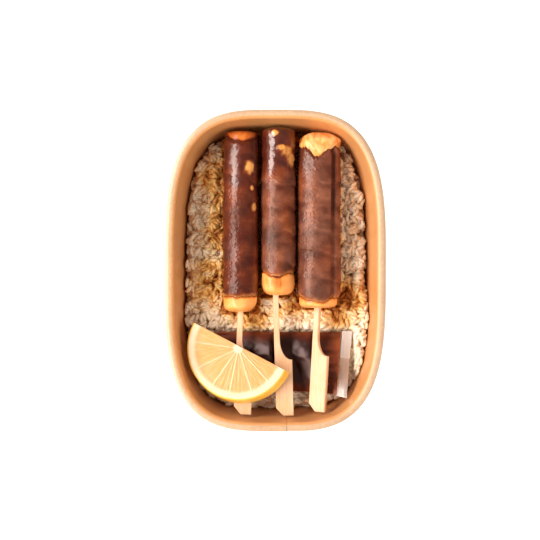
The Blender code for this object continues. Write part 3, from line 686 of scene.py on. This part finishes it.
bamboo = bamboo_finish()
for side, stick in STICKS.items():
    roll = ROLLS[side]
    left = -SHAFT_WIDTH / 2
    right = left + HANDLE_WIDTH
    edge = [(left, HANDLE_CUT[1]), (left + HANDLE_CUT[0], 0.0), (right, 0.0), (right, HANDLE_LENGTH)]
    sweep = right - SHOULDER - SHAFT_WIDTH / 2
    for i in range(NECK_STEPS + 1):
        turn = math.radians(90 - 90 / NECK_STEPS * i)
        x = right - SHOULDER - sweep * math.cos(turn)
        edge.append((x, HANDLE_LENGTH + NECK_LENGTH * (1 - math.sin(turn))))
    point = STICK_LENGTH - POINT_LENGTH
    edge += [(SHAFT_WIDTH / 2, point), (0.0, STICK_LENGTH), (left, point)]
    bm = bmesh.new()
    face = bm.faces.new([bm.verts.new((x, y, -STICK_THICK / 2)) for x, y in edge])
    raised = bmesh.ops.extrude_face_region(bm, geom=[face])["geom"]
    up = [v for v in raised if isinstance(v, bmesh.types.BMVert)]
    bmesh.ops.translate(bm, verts=up, vec=(0, 0, STICK_THICK))
    rims = [e for e in bm.edges if abs(e.verts[0].co.z - e.verts[1].co.z) < 1e-6]
    bmesh.ops.bevel(bm, geom=rims, offset=STICK_EDGE, segments=2, affect="EDGES")
    height = roll["far_z"] + (roll["far_y"] - stick["y"]) * math.tan(PITCH)
    end = Vector((stick["x"] + SHAFT_WIDTH / 2, stick["y"], height))
    yawed = Matrix.Rotation(math.radians(stick["yaw"]), 4, "Z") @ Matrix.Rotation(-PITCH, 4, "X")
    matrix = Matrix.Translation(end) @ yawed @ Matrix.Rotation(math.radians(-stick["roll"]), 4, "Y")
    bmesh.ops.transform(bm, matrix=matrix, verts=bm.verts)
    points = [v.co.copy() for v in bm.verts]
    bm.verts.index_update()
    faces = [[v.index for v in f.verts] for f in bm.faces]
    bm.free()
    obj = build(f"bamboo_stick_{side}", points, faces, bamboo, sharp=35)
    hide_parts(f"stick_{side}")

# The sauce sachet. Dark soy sauce sealed in a clear film pillow, with a crimped band at each end. The sauce
# is one piece and the film another, a hair outside it; its near right corner is pushed up by the wall.
SACHET_CORNERS = np.array(((-39.5, -33.0), (42.4, -33.1), (38.6, -68.9), (-34.5, -68.0))) * MM
SACHET_WAIST, SACHET_FLOOR, SACHET_THICK = 1.8 * MM, 24.6 * MM, 8.2 * MM
SEAL_WIDTH, SEAL_THICK, SEAL_LIFT = 6.2 * MM, 0.5 * MM, 13 * MM
SACHET_COLUMNS, SACHET_ROWS = 260, 120
SAUCE_FROM, SAUCE_TO = 0.085, 0.925
FILM_GAP = 0.3 * MM
SAUCE_MARGIN = 0.02
# The pillow's folds: mm along it, and mm up from its plain form.
BULGES = (
    (-44, 0.0), (-18, -4.4), (-3, 1.5), (4, -0.9), (9, -2.7), (19, 1.2), (23, -1.2), (31, 1.1), (36, 0.0),
)
BULGE_BEND_FROM, BULGE_BEND = -46 * MM, 0.45
FILLED, SUNK, PUCKER = 0.93, 4.5 * MM, 0.6 * MM
SEAL_FADE, PANEL_FROM, PANEL_TO, PANEL_CLEAR = 0.015, 0.41, 0.43, 0.45


def bulging(x, y):
    """How the pillow rises and falls along its length, in curved folds that lean at the near side."""
    bent = (x - BULGE_BEND * np.clip(BULGE_BEND_FROM - y, 0, None)) / MM
    height = np.zeros_like(x)
    for (start, low), (stop, high) in zip(BULGES, BULGES[1:]):
        share = 0.65 * np.clip((bent - start) / (stop - start), 0, 1) + 0.35 * smoothstep(start, stop, bent)
        height = np.where((bent >= start) & (bent <= stop), low + (high - low) * share, height)
    return height * MM


def sachet_grid(across, down, top, shrink=0.0):
    """Points of the film, or of the sauce a shrink inside it, at shares of its length and width, and how
    deep the sauce is there."""
    far = SACHET_CORNERS[0] + (SACHET_CORNERS[1] - SACHET_CORNERS[0]) * across[..., None]
    near = SACHET_CORNERS[3] + (SACHET_CORNERS[2] - SACHET_CORNERS[3]) * across[..., None]
    flat = far + (near - far) * down[..., None]
    flat[..., 1] += SACHET_WAIST * down * (1 - np.abs(2 * across - 1) ** 6)
    seal = SEAL_WIDTH / (SACHET_CORNERS[1][0] - SACHET_CORNERS[0][0])
    inside = np.clip((across - seal) / (1 - 2 * seal), 0, 1)
    long_way = np.clip(1 - np.abs(2 * inside - 1) ** 3.2, 0, 1) ** 0.7
    short_way = np.clip(1 - np.abs(2 * down - 1) ** 2.4, 0, 1) ** 0.75
    lift = SEAL_LIFT * smoothstep(0.5, 1.0, across) ** 1.5 * smoothstep(0.25, 1.0, down)
    height = SACHET_FLOOR + lift
    swell = long_way * short_way
    if top:
        # puckers run in from the seals, and soft dents and folds lie over the filled middle
        by_seal = smoothstep(0.22, 0.0, np.minimum(inside, 1 - inside))
        puckers = (np.sin(down * 31 + 2) + 0.6 * np.sin(down * 57)) * by_seal * smoothstep(0, 0.04, inside)
        dents = 0.45 * rough(across * 9, down * 4.5, 3.0) + 0.25 * rough(across * 22, down * 11, 8.0)
        sunk = SUNK * smoothstep(18 * MM, 34 * MM, flat[..., 0]) * smoothstep(0.3, 0.7, down)
        folds = bulging(flat[..., 0], flat[..., 1]) + dents * MM - sunk
        body = SACHET_THICK * swell * FILLED + folds * swell
        height = height + SEAL_THICK + body + PUCKER * puckers * swell**0.5 - shrink * swell
    else:
        height = height + shrink
    x, y = flat[..., 0], flat[..., 1]
    deep = 1 - 0.55 * smoothstep(20 * MM, 33 * MM, x) - 0.25 * smoothstep(-36 * MM, -33 * MM, y)
    return np.stack([x, y, height], axis=-1), swell * deep


def pillow(name, shrink, low, high, finish):
    """A closed pillow between two shares of the sachet's length, and what its finish is tagged from."""
    u = low + (high - low) * (0.5 - 0.5 * np.cos(np.linspace(0, math.pi, SACHET_COLUMNS)))
    margin = SAUCE_MARGIN if shrink else 0.0
    v = margin + (1 - 2 * margin) * (0.5 - 0.5 * np.cos(np.linspace(0, math.pi, SACHET_ROWS)))
    across, down = np.meshgrid(u, v, indexing="ij")
    upper, swell = sachet_grid(across, down, True, shrink)
    lower, _ = sachet_grid(across, down, False, shrink)
    rings = np.concatenate([upper, lower[:, ::-1]], axis=1)
    points, faces = loft(rings)
    count = rings.shape[1]
    for row in (0, SACHET_COLUMNS - 1):
        for j in range(SACHET_ROWS - 1):
            k = row * count
            faces.append((k + j, k + j + 1, k + count - 2 - j, k + count - 1 - j))
    obj = build(name, points, faces, finish)
    return obj, np.concatenate([swell, swell[:, ::-1]], axis=1).ravel(), across, down


def sauce_finish():
    """Soy sauce: nearly black where it is deep, amber and red-brown where it thins out at the edges."""
    finish = new_finish("soy_sauce", Roughness=0.35, IOR=1.15)
    uneven = scaled(finish, mottle(finish, position(finish), 85, 2), 0.5, stored(finish, "swell"))
    depth = shades(
        finish, uneven, (0.18, (0.62, 0.18, 0.05)), (0.45, (0.36, 0.085, 0.036)),
        (0.80, (0.15, 0.030, 0.015)), (1.0, (0.040, 0.007, 0.003)),
    )
    plug(finish, Base_Color=depth)
    return finish


def film_finish():
    """Clear film: over the sauce only dusky highlights show, and its sealed bands are clouded and ribbed."""
    finish = new_finish("clear_film", Roughness=0.33)
    ribs = stored(finish, "crimp")
    place = position(finish)
    turned = add(finish, "Mapping", i0=place, i2=(0, 0, math.radians(-6)), i3=(1, 0.02, 0.02)).outputs[0]
    wave = add(finish, "TexWave", Vector=turned, Scale=430).outputs["Fac"]
    ridge = scaled(finish, wave, ribs)
    creases = mottle(finish, place, 60, 1, "RIDGED_MULTIFRACTAL")
    bump = relief(finish, scaled(finish, creases, 2.0, ridge), 0.8, 0.18 * MM)
    unsealed = add(finish, "MapRange", Value=ribs, To_Min=1.0, To_Max=0.0).outputs[0]
    mirror = add(finish, "Fresnel", IOR=1.5, Normal=bump).outputs[0]
    shown = scaled(finish, ridge, 0.20, scaled(finish, ribs, 0.52, mirror))
    tints = shades(finish, ribs, (0.0, (0.85, 0.60, 0.55)), (0.6, (1.0, 0.88, 0.80)))
    plug(finish, Alpha=shown, Base_Color=tints, Metallic=unsealed, Normal=bump)
    return finish


sauce_pillow, swell, _, _ = pillow("soy_sauce", FILM_GAP, SAUCE_FROM, SAUCE_TO, sauce_finish())
tag(sauce_pillow, swell=swell)
film, _, across, down = pillow("sachet_film", 0.0, 0.0, 1.0, film_finish())
from_end = np.minimum(across, 1 - across)
crimp = smoothstep(1 - SAUCE_TO, 1 - SAUCE_TO - SEAL_FADE, from_end)
crimp = crimp * (1 - PANEL_CLEAR * smoothstep(PANEL_FROM, PANEL_TO, down))
tag(film, crimp=np.concatenate([crimp, crimp[:, ::-1]], axis=1).ravel())
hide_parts("sachet")

# The lemon. Half of a slice across a fresh lemon: waxy zest, a ring of white pith, and wedges of juicy pulp
# between thin membranes. It leans on two of the handles with its left side lower.
LEMON_CENTRE = Vector((-19.1 * MM, -42.1 * MM, 38.0 * MM))
LEMON_RADIUS, LEMON_THICK, LEMON_EXTRA, LEMON_SPREAD = 27.9 * MM, 6 * MM, 1.1 * MM, 1.0 * MM
LEMON_TURN, LEMON_TILT = math.radians(-26.9), math.radians(6)
LEMON_SKEW = Vector((0.9 * MM, -0.7 * MM))
MEMBRANES = (199, 233, 262, 286, 315, 340)
CORE_TO, PITH_FROM, ZEST_FROM = 0.12, 0.87, 0.965


def lemon_finish():
    """Pale gold pulp in long sacs, creamy pith, and waxy yellow zest with fine pores."""
    finish = new_finish("lemon", Roughness=0.28, IOR=1.4, Subsurface_Weight=0.35, Subsurface_Scale=3 * MM)
    pulp = stored(finish, "pulp")
    sacs = stored(finish, "sacs", "Vector")
    cells = add(finish, "TexVoronoi", {"feature": "SMOOTH_F1"}, Vector=sacs, Scale=1.0, Smoothness=0.6)
    cells = cells.outputs["Distance"]
    juicy = shades(finish, cells, (0.0, (0.73, 0.315, 0.088)), (0.9, (0.77, 0.395, 0.18)))
    place = position(finish)
    cloud = mottle(finish, place, 260, 3)
    piths = shades(finish, cloud, (0.0, (0.80, 0.56, 0.34)), (1.0, (0.88, 0.70, 0.48)))
    waxy = shades(finish, cloud, (0.0, (0.80, 0.39, 0.03)), (1.0, (0.90, 0.56, 0.11)))
    whole = mixed(finish, stored(finish, "zest"), mixed(finish, pulp, piths, juicy), waxy)
    sunk = scaled(finish, cells, pulp)
    height = scaled(finish, mottle(finish, place, 1500, 2), 0.25, sunk)
    plug(finish, Base_Color=whole, Normal=relief(finish, height, 0.6, 0.5 * MM, invert=True))
    return finish


overrun = math.asin(LEMON_EXTRA / LEMON_RADIUS)
arc = overrun - (math.pi + 2 * overrun) * np.linspace(0, 1, 241)
chord = np.linspace(-1, 1, 61)[1:-1]
rim_x = np.append(LEMON_RADIUS * np.cos(arc), chord * LEMON_RADIUS * math.cos(overrun))
rim_y = np.append(LEMON_RADIUS * np.sin(arc), np.full_like(chord, LEMON_EXTRA))
skew = Matrix.Rotation(-LEMON_TURN, 2) @ LEMON_SKEW
rings, pulps, zests, sacs = [], [], [], []
for share in np.append(np.linspace(0.04, 0.82, 50), np.linspace(0.83, 1.0, 14)):
    x, y = rim_x * share, rim_y * share
    radial = np.hypot(x, y) / LEMON_RADIUS
    angle = np.degrees(np.arctan2(y, x)) % 360
    beside = np.min([np.abs(angle - m) for m in MEMBRANES], axis=0) * math.pi / 180 * radial * LEMON_RADIUS
    wobble = 0.25 * MM * rough(x / (3 * MM), y / (3 * MM), 1.0)
    pulp = smoothstep(0.1 * MM, 0.65 * MM, beside + wobble) * 0.55 + 0.45
    ragged = radial + 0.01 * rough(angle / 4, 0 * angle)
    pulp = pulp * (1 - smoothstep(PITH_FROM - 0.07, PITH_FROM + 0.03, ragged))
    pulp = pulp * smoothstep(CORE_TO / 2, CORE_TO, radial)
    edge = smoothstep(1.0, ZEST_FROM, share)
    z = LEMON_THICK - 0.35 * MM * pulp - 0.5 * MM * (1 - edge) * (radial > 0.9)
    rings.append(np.stack([x, y, z * np.ones_like(x)], axis=1))
    pulps.append(pulp)
    zests.append(smoothstep(ZEST_FROM - 0.01, ZEST_FROM + 0.02, radial))
    sacs.append(np.stack([angle / 3.6, radial * 5.0, 0 * x], axis=1))
for depth in np.linspace(0.12, 1, 12):
    spread = LEMON_RADIUS + LEMON_SPREAD * depth
    x = rim_x * spread / LEMON_RADIUS + skew.x * depth
    y = np.minimum(rim_y * spread / LEMON_RADIUS + skew.y * depth, LEMON_EXTRA)
    z = (LEMON_THICK - 0.5 * MM) * (1 - depth)
    radial = np.hypot(rim_x, rim_y) / LEMON_RADIUS
    rings.append(np.stack([x, y, z * np.ones_like(x)], axis=1))
    pulps.append((radial < PITH_FROM) * 1.0)
    zests.append((radial > ZEST_FROM) * 1.0)
    sacs.append(np.stack([x / (4 * MM), radial * 5.5, z / (3 * MM) * np.ones_like(x)], axis=1))
points, faces = loft(rings, start=(0, 0, LEMON_THICK), end=(0, -2 * MM, 0.0))
tilt = Matrix.Rotation(-LEMON_TILT, 4, "Y") @ Matrix.Rotation(-PITCH, 4, "X")
matrix = np.array(Matrix.Translation(LEMON_CENTRE) @ tilt @ Matrix.Rotation(LEMON_TURN, 4, "Z"))
points = np.array(points) @ matrix[:3, :3].T + matrix[:3, 3]
lemon = build("lemon_slice", points, faces, lemon_finish(), sharp=60)
tag(lemon, pulp=np.append(np.concatenate(pulps), [0, 1]), zest=np.append(np.concatenate(zests), [0, 0]))
poles = np.zeros((2, 3))
places = np.concatenate(sacs + [poles]).astype(np.float32)
lemon.data.attributes.new("sacs", "FLOAT_VECTOR", "POINT").data.foreach_set("vector", places.ravel())
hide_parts("lemon")

# The rice. Cooked short-grain rice pressed loosely into the tub, in clumps with dark gaps along the wall.
# Its lower grains are mashed into one bed, the rest lie loose on that, and sauce has stained some of them.
RICE_FLOOR = BASE_LIFT + PAPER + GAP
RICE_LEVEL, RICE_DEPTH = 23.6 * MM, 3.6 * MM
# Slopes of its top: across or along, from one place to another in mm, and how far it rises in mm.
RICE_SLOPES = (
    ("along", 30, -14, 2.0), ("along", -66, -78, -6.0), ("along", 40, 75, -1.5),
    ("across", -10, 46, 1.2), ("across", -34, -52, -1.2),
)
LUMP_SIZE, LUMP_HIGH, CREVICE, HEAPED, WALL_DROP = 7.5 * MM, 5.0 * MM, 1.3 * MM, 2.0 * MM, 6.5 * MM
BUMP_SIZE, BUMP_HIGH, LOWERED = 4 * MM, 1.2 * MM, 0.3 * MM
PIT_SIZE, PIT_DEPTH, PIT_IN_BED = 3.6 * MM, 2.2 * MM, 0.6 * MM
GRAIN_LENGTH, GRAIN_WIDTH, GRAIN_HIGH = 5.2 * MM, 2.1 * MM, 1.8 * MM
GRAIN_SEGMENTS, GRAIN_RINGS = 8, 5
MASHED_COUNT, GRAIN_TRIES = 1100, 26000
MASHED_DRAWS, LOOSE_DRAWS = 2, 4
MASHED_PROUD, LOOSE_PROUD = -0.3 * MM, 0.9 * MM
SETTLES, HUGS = 0.62, 0.8
BED_TURNS, BED_RINGS = 480, 120
CELL = 0.5 * MM
# Stains: a place, half a width and a length in mm, and how strong each is.
STAINS = (
    (-33, 52, 9, 9, 0.75), (-32, 40, 7, 7, 0.6), (-31, 22, 8, 19, 0.7), (-36, -6, 10, 12, 0.75),
    (-12, -26, 11, 6, 0.7), (-40, -14, 5, 5, 0.6), (40, -15, 9, 8, 1.1), (12, -19, 9, 6, 0.7),
    (34, -26, 7, 5, 0.8), (1, -24, 5, 5, 0.45),
)


def rice_top(x, y):
    """The height that the grains are filled to: clumps on slopes, lower at the walls and in the corners."""
    height = RICE_LEVEL
    for way, start, stop, rise in RICE_SLOPES:
        height = height + rise * MM * smoothstep(start * MM, stop * MM, x if way == "across" else y)
    lumps = rough(x / LUMP_SIZE, y / LUMP_SIZE, 0.0)
    bumps = rough(x / BUMP_SIZE, y / BUMP_SIZE, 9.0)
    height = height + LUMP_HIGH * np.abs(lumps) + BUMP_HIGH * bumps - LOWERED
    height = height - CREVICE * smoothstep(0.08, 0.0, np.abs(lumps))
    near_wall = reach(x, y, RICE_LEVEL, PAPER + GAP) + 0.09 * rough(x / (6 * MM), y / (6 * MM), 5.0)
    heaped = smoothstep(40 * MM, 46 * MM, x) * smoothstep(-66 * MM, -56 * MM, y)
    heaped = heaped * smoothstep(-4 * MM, -22 * MM, y)
    height = height + HEAPED * heaped - WALL_DROP * (1 - heaped) * smoothstep(0.93, 0.99, near_wall)
    low, high = SACHET_CORNERS[2][1] - 2 * MM, SACHET_CORNERS[0][1] + 2 * MM
    by_sachet = (y > low) & (y < high) & (x > -42 * MM) & (x < 44 * MM)
    return np.where(by_sachet, SACHET_FLOOR - 0.6 * MM, height)


xs = np.arange(-54 * MM, 54 * MM, CELL)
ys = np.arange(-80 * MM, 80 * MM, CELL)
X, Y = np.meshgrid(xs, ys, indexing="ij")
top = rice_top(X, Y)
pits = smoothstep(0.30, 0.46, rough(X / PIT_SIZE, Y / PIT_SIZE, 60.0))
top = top - PIT_DEPTH * pits
heap = top - RICE_DEPTH
# The grains stay below the rolls and the sachet, and none are laid where those hide them.
ceiling = np.full_like(top, 1.0)
for roll in ROLLS.values():
    wide = (roll["radius"] + roll["flap"]) * roll["oval"] + 0.5 * MM
    across = np.clip(np.abs(X - roll["x"]) / wide, 0, 1)
    axis = roll["far_z"] + (roll["far_y"] - Y) * math.tan(PITCH)
    under = axis - (roll["radius"] + 0.3 * MM) * np.sqrt(1 - across**2)
    under = under + 1.5 * np.clip(roll["near_y"] - Y, 0, None)
    over = (across < 1) & (Y > roll["near_y"] - 4 * MM) & (Y < roll["far_y"] + 1 * MM)
    ceiling = np.where(over, np.minimum(ceiling, under), ceiling)
left, right = SACHET_CORNERS[0][0] - 0.5 * MM, SACHET_CORNERS[1][0] + 0.5 * MM
beneath = (X > left) & (X < right) & (Y < SACHET_CORNERS[0][1] + 0.5 * MM) & (Y > -69.5 * MM)
ceiling = np.where(beneath, SACHET_FLOOR - 0.2 * MM, ceiling)
hidden = beneath & (X > left + 7 * MM) & (X < right - 12 * MM) & (Y < -39 * MM) & (Y > -62 * MM)
for roll in ROLLS.values():
    covered = (np.abs(X - roll["x"]) < 0.95 * roll["radius"]) & (Y > roll["near_y"] + 3 * MM)
    hidden |= covered & (Y < 70 * MM)
inside = reach(X, Y, top, PAPER + GAP) < 1
open_cells = np.argwhere(inside & (ceiling - heap > 2.2 * MM) & ~hidden)

draw = random.Random(11)
grains = []
mass = None
# Each try draws a few places and turns for one grain, fits it to the heap under it, and keeps the lowest.
for _ in range(GRAIN_TRIES):
    if mass is None and len(grains) == MASHED_COUNT:
        mass = heap.copy()
    best = None
    scale = draw.uniform(0.86, 1.1)
    half_l, half_w, half_h = (scale * n / 2 for n in (GRAIN_LENGTH, GRAIN_WIDTH, GRAIN_HIGH))
    for _ in range(MASHED_DRAWS if mass is None else LOOSE_DRAWS):
        i, j = open_cells[draw.randrange(len(open_cells))]
        yaw = draw.uniform(0, math.pi)
        n = int(half_l / CELL) + 1
        if i < n or j < n or i + n >= len(xs) or j + n >= len(ys):
            continue
        cells = np.s_[i - n : i + n + 1, j - n : j + n + 1]
        dx, dy = X[cells] - xs[i], Y[cells] - ys[j]
        along_grain = dx * math.cos(yaw) + dy * math.sin(yaw)
        across_grain = -dx * math.sin(yaw) + dy * math.cos(yaw)
        inner = 1 - (along_grain / half_l) ** 2 - (across_grain / half_w) ** 2
        mask = inner > 0
        if not inside[cells][mask].all():
            continue
        ground = heap[cells][mask]
        a, b = along_grain[mask], across_grain[mask]
        spread = ground - ground.mean()
        slope = np.clip((a * spread).sum() / (a * a).sum(), -0.55, 0.55)
        side = np.clip((b * spread).sum() / (b * b).sum(), -0.4, 0.4)
        dome = half_h * np.sqrt(inner[mask])
        rests = np.sort(ground + HUGS * dome - slope * a - side * b)
        z = rests[int(SETTLES * (len(rests) - 1))]
        upper = z + slope * a + side * b + dome
        if (upper > ceiling[cells][mask] - 0.1 * MM).any():
            continue
        over = z + half_h - top[i, j]
        if best is None or over < best[0]:
            best = (over, cells, mask, upper, (xs[i], ys[j], z, yaw, slope, side, scale))
    if best is None or best[0] > (MASHED_PROUD if mass is None else LOOSE_PROUD):
        continue
    _, cells, mask, upper, grain = best
    heap[cells][mask] = np.maximum(heap[cells][mask], upper)
    grains.append(grain)
grains = grains[MASHED_COUNT:]


def stain(x, y):
    """How much sauce has soaked in, from 0 to 1; under and beside the rolls it is dark brown, partly juice
    and partly painted shade in the gaps between them.
    """
    mm_x, mm_y = x / MM, y / MM
    soaked = 0.0
    for at_x, at_y, wide, long, much in STAINS:
        off = ((mm_x - at_x) / wide) ** 2 + ((mm_y - at_y) / long) ** 2
        soaked = np.maximum(soaked, much * np.exp(-off))
    # under and beside each roll the rice is stained dark brown: partly the rolls' juices, partly painted
    # shade in the gaps between the rolls
    for roll in ROLLS.values():
        beneath = smoothstep(1.25, 1.0, np.abs(x - roll["x"]) / roll["radius"] / roll["oval"])
        soaked = np.maximum(soaked, 1.3 * beneath * smoothstep(roll["near_y"] - 3 * MM, roll["near_y"], y))
    patchy = rough(mm_x / 6, mm_y / 6, 20.0) + 0.5 * rough(mm_x / 2.6, mm_y / 2.6, 30.0)
    return np.clip(soaked * (1.0 + 0.8 * patchy) + 0.06 * patchy, 0, 1)


def rice_finish():
    """Cooked rice: translucent and slightly shiny, cream to white, amber where sauce has soaked in; dark
    brown under and beside the rolls, partly juice and partly painted shade; the bed a little darker as
    painted shade under the loose grains.
    """
    finish = new_finish(
        "cooked_rice", Roughness=0.34, IOR=1.38, Subsurface_Weight=0.35,
        Subsurface_Scale=3 * MM, Subsurface_Radius=(1.0, 0.7, 0.45),
    )
    fine = mottle(finish, position(finish), 420, 3)
    stains = shades(
        finish, scaled(finish, fine, 0.25, stored(finish, "stain")), (0.12, (1.0, 0.81, 0.61)),
        (0.30, (0.98, 0.70, 0.42)), (0.66, (0.98, 0.53, 0.155)), (1.0, (0.40, 0.12, 0.015)),
    )
    # darker by each grain's own random tone, and on the bed by painted shade under the loose grains
    toned = mixed(finish, stored(finish, "shade"), stains, (0.80, 0.72, 0.63, 1), "MULTIPLY")
    plug(finish, Base_Color=toned, Normal=relief(finish, fine, 0.15, 0.3 * MM))
    return finish


def softened(grid):
    """A height grid with each height blended into its neighbours."""
    padded = np.pad(grid, 1, mode="edge")
    return (padded[:-2, 1:-1] + padded[2:, 1:-1] + padded[1:-1, :-2] + padded[1:-1, 2:]) / 8 + grid / 2


rice = rice_finish()
mass = softened(np.maximum(mass, heap - 0.45 * MM)) - 0.1 * MM - PIT_IN_BED * pits
mass = np.minimum(mass, ceiling - 0.5 * MM)


def mass_height(x, y):
    """The rice between the grains, read from its height grid."""
    u = np.clip((x - xs[0]) / CELL, 0, len(xs) - 1.001)
    v = np.clip((y - ys[0]) / CELL, 0, len(ys) - 1.001)
    i, j = u.astype(int), v.astype(int)
    u, v = u - i, v - j
    near = mass[i, j] * (1 - u) + mass[i + 1, j] * u
    far = mass[i, j + 1] * (1 - u) + mass[i + 1, j + 1] * u
    return near * (1 - v) + far * v


bed_turns = even_turns(BED_TURNS)
rings = [outline(RICE_FLOOR, PAPER + 2 * GAP, bed_turns)]
for share in np.append(1.0, np.linspace(0.995, 0.02, BED_RINGS)):
    ring = outline(RICE_LEVEL - 7 * MM, PAPER + 2 * GAP, bed_turns, share)
    ring[:, 2] = mass_height(ring[:, 0], ring[:, 1])
    rings.append(ring)
points, faces = loft(rings, start=(0, 0, RICE_FLOOR), end=(0, 0, mass_height(np.zeros(1), np.zeros(1))[0]))
bed = build("rice_bed", points, faces, rice)
flat = np.array(points)
# the bed is painted a little darker than the loose grains on it: painted shade under them
tag(bed, stain=stain(flat[:, 0], flat[:, 1]), shade=np.ones(len(flat)) * 0.35)
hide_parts("rice")


def grain_form(name, pinch):
    """One short grain, plump, with blunt ends and a slight bend, at true size."""
    bm = bmesh.new()
    bmesh.ops.create_uvsphere(bm, u_segments=GRAIN_SEGMENTS, v_segments=GRAIN_RINGS, radius=0.5)
    bmesh.ops.rotate(bm, verts=bm.verts, matrix=Matrix.Rotation(math.radians(90), 3, "Y"))
    for vert in bm.verts:
        x = vert.co.x * 2
        full = (1 - abs(x) ** 2.6) ** 0.5 / max(1e-6, (1 - x * x) ** 0.5) if abs(x) < 0.999 else 1.0
        vert.co.y *= full * (1 + pinch * x)
        vert.co.z *= full * (1 - 0.12 * x * x)
        vert.co.y += 0.06 * x * x
    bmesh.ops.scale(bm, verts=bm.verts, vec=(GRAIN_LENGTH, GRAIN_WIDTH, GRAIN_HIGH))
    mesh = bpy.data.meshes.new(name)
    bm.to_mesh(mesh)
    bm.free()
    mesh.shade_smooth()
    obj = bpy.data.objects.new(name, mesh)
    bpy.context.scene.collection.objects.link(obj)
    return obj


def grain_tree(forms):
    """Geometry nodes that put one of the forms, turned and sized, at each point of a mesh."""
    tree = bpy.data.node_groups.new("lay_grains", "GeometryNodeTree")
    tree.interface.new_socket("Points", in_out="INPUT", socket_type="NodeSocketGeometry")
    tree.interface.new_socket("Grains", in_out="OUTPUT", socket_type="NodeSocketGeometry")
    finish_socket = tree.interface.new_socket("Finish", in_out="INPUT", socket_type="NodeSocketMaterial")
    nodes, links = tree.nodes, tree.links

    def read(name, kind):
        """What is stored under a name at each point."""
        node = nodes.new("GeometryNodeInputNamedAttribute")
        node.data_type = kind
        node.inputs["Name"].default_value = name
        return node.outputs["Attribute"]

    source, result = nodes.new("NodeGroupInput"), nodes.new("NodeGroupOutput")
    gather = nodes.new("GeometryNodeJoinGeometry")
    for number, form in enumerate(forms):
        same = nodes.new("FunctionNodeCompare")
        same.data_type = "INT"
        same.operation = "EQUAL"
        same.inputs[3].default_value = number
        links.new(read("form", "INT"), same.inputs[2])
        shape = nodes.new("GeometryNodeObjectInfo")
        shape.inputs["Object"].default_value = form
        lay = nodes.new("GeometryNodeInstanceOnPoints")
        links.new(source.outputs["Points"], lay.inputs["Points"])
        links.new(same.outputs["Result"], lay.inputs["Selection"])
        links.new(shape.outputs["Geometry"], lay.inputs["Instance"])
        links.new(read("turn", "FLOAT_VECTOR"), lay.inputs["Rotation"])
        links.new(read("size", "FLOAT_VECTOR"), lay.inputs["Scale"])
        links.new(lay.outputs["Instances"], gather.inputs[0])
    real = nodes.new("GeometryNodeRealizeInstances")
    painted = nodes.new("GeometryNodeSetMaterial")
    links.new(gather.outputs[0], real.inputs[0])
    links.new(real.outputs[0], painted.inputs["Geometry"])
    links.new(source.outputs["Finish"], painted.inputs["Material"])
    links.new(painted.outputs[0], result.inputs[0])
    return tree, finish_socket.identifier


forms = [grain_form("plump_grain", 0.08), grain_form("slim_grain", -0.15), grain_form("blunt_grain", 0.0)]
tree, finish_input = grain_tree(forms)
laid = bpy.data.meshes.new("laid")
laid.from_pydata([grain[:3] for grain in grains], [], [])
turn_values, size_values, form_values, grain_tone_values = [], [], [], []
for _, _, _, yaw, slope, side, scale in grains:
    tilt = Matrix.Rotation(-math.atan(slope), 3, "Y")
    lean = Matrix.Rotation(math.atan(side), 3, "X")
    turn_values += list((Matrix.Rotation(yaw, 3, "Z") @ tilt @ lean).to_euler())
    size_values += [scale * draw.uniform(0.94, 1.06), scale * draw.uniform(0.9, 1.08), scale]
    form_values.append(draw.randrange(len(forms)))
    # each grain gets its own random tone
    grain_tone_values.append(draw.uniform(0, 0.45))
for name, kind, field, values in (
    ("turn", "FLOAT_VECTOR", "vector", turn_values),
    ("size", "FLOAT_VECTOR", "vector", size_values),
    ("form", "INT", "value", form_values),
    ("shade", "FLOAT", "value", grain_tone_values),
):
    laid.attributes.new(name, kind, "POINT").data.foreach_set(field, values)
carrier = bpy.data.objects.new("carrier", laid)
bpy.context.scene.collection.objects.link(carrier)
modifier = carrier.modifiers.new("grains", "NODES")
modifier.node_group = tree
modifier[finish_input] = rice
graph = bpy.context.evaluated_depsgraph_get()
grains_mesh = bpy.data.meshes.new_from_object(carrier.evaluated_get(graph))
grains_mesh.name = "rice_grains"
grains_mesh.shade_smooth()
rice_grains = bpy.data.objects.new("rice_grains", grains_mesh)
bpy.context.scene.collection.objects.link(rice_grains)
for spare_obj in [carrier] + forms:
    bpy.data.objects.remove(spare_obj)
corners = np.zeros(len(grains_mesh.vertices) * 3)
grains_mesh.vertices.foreach_get("co", corners)
corners = corners.reshape(-1, 3)
tag(rice_grains, stain=stain(corners[:, 0], corners[:, 1]))
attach(rice_grains, "root")
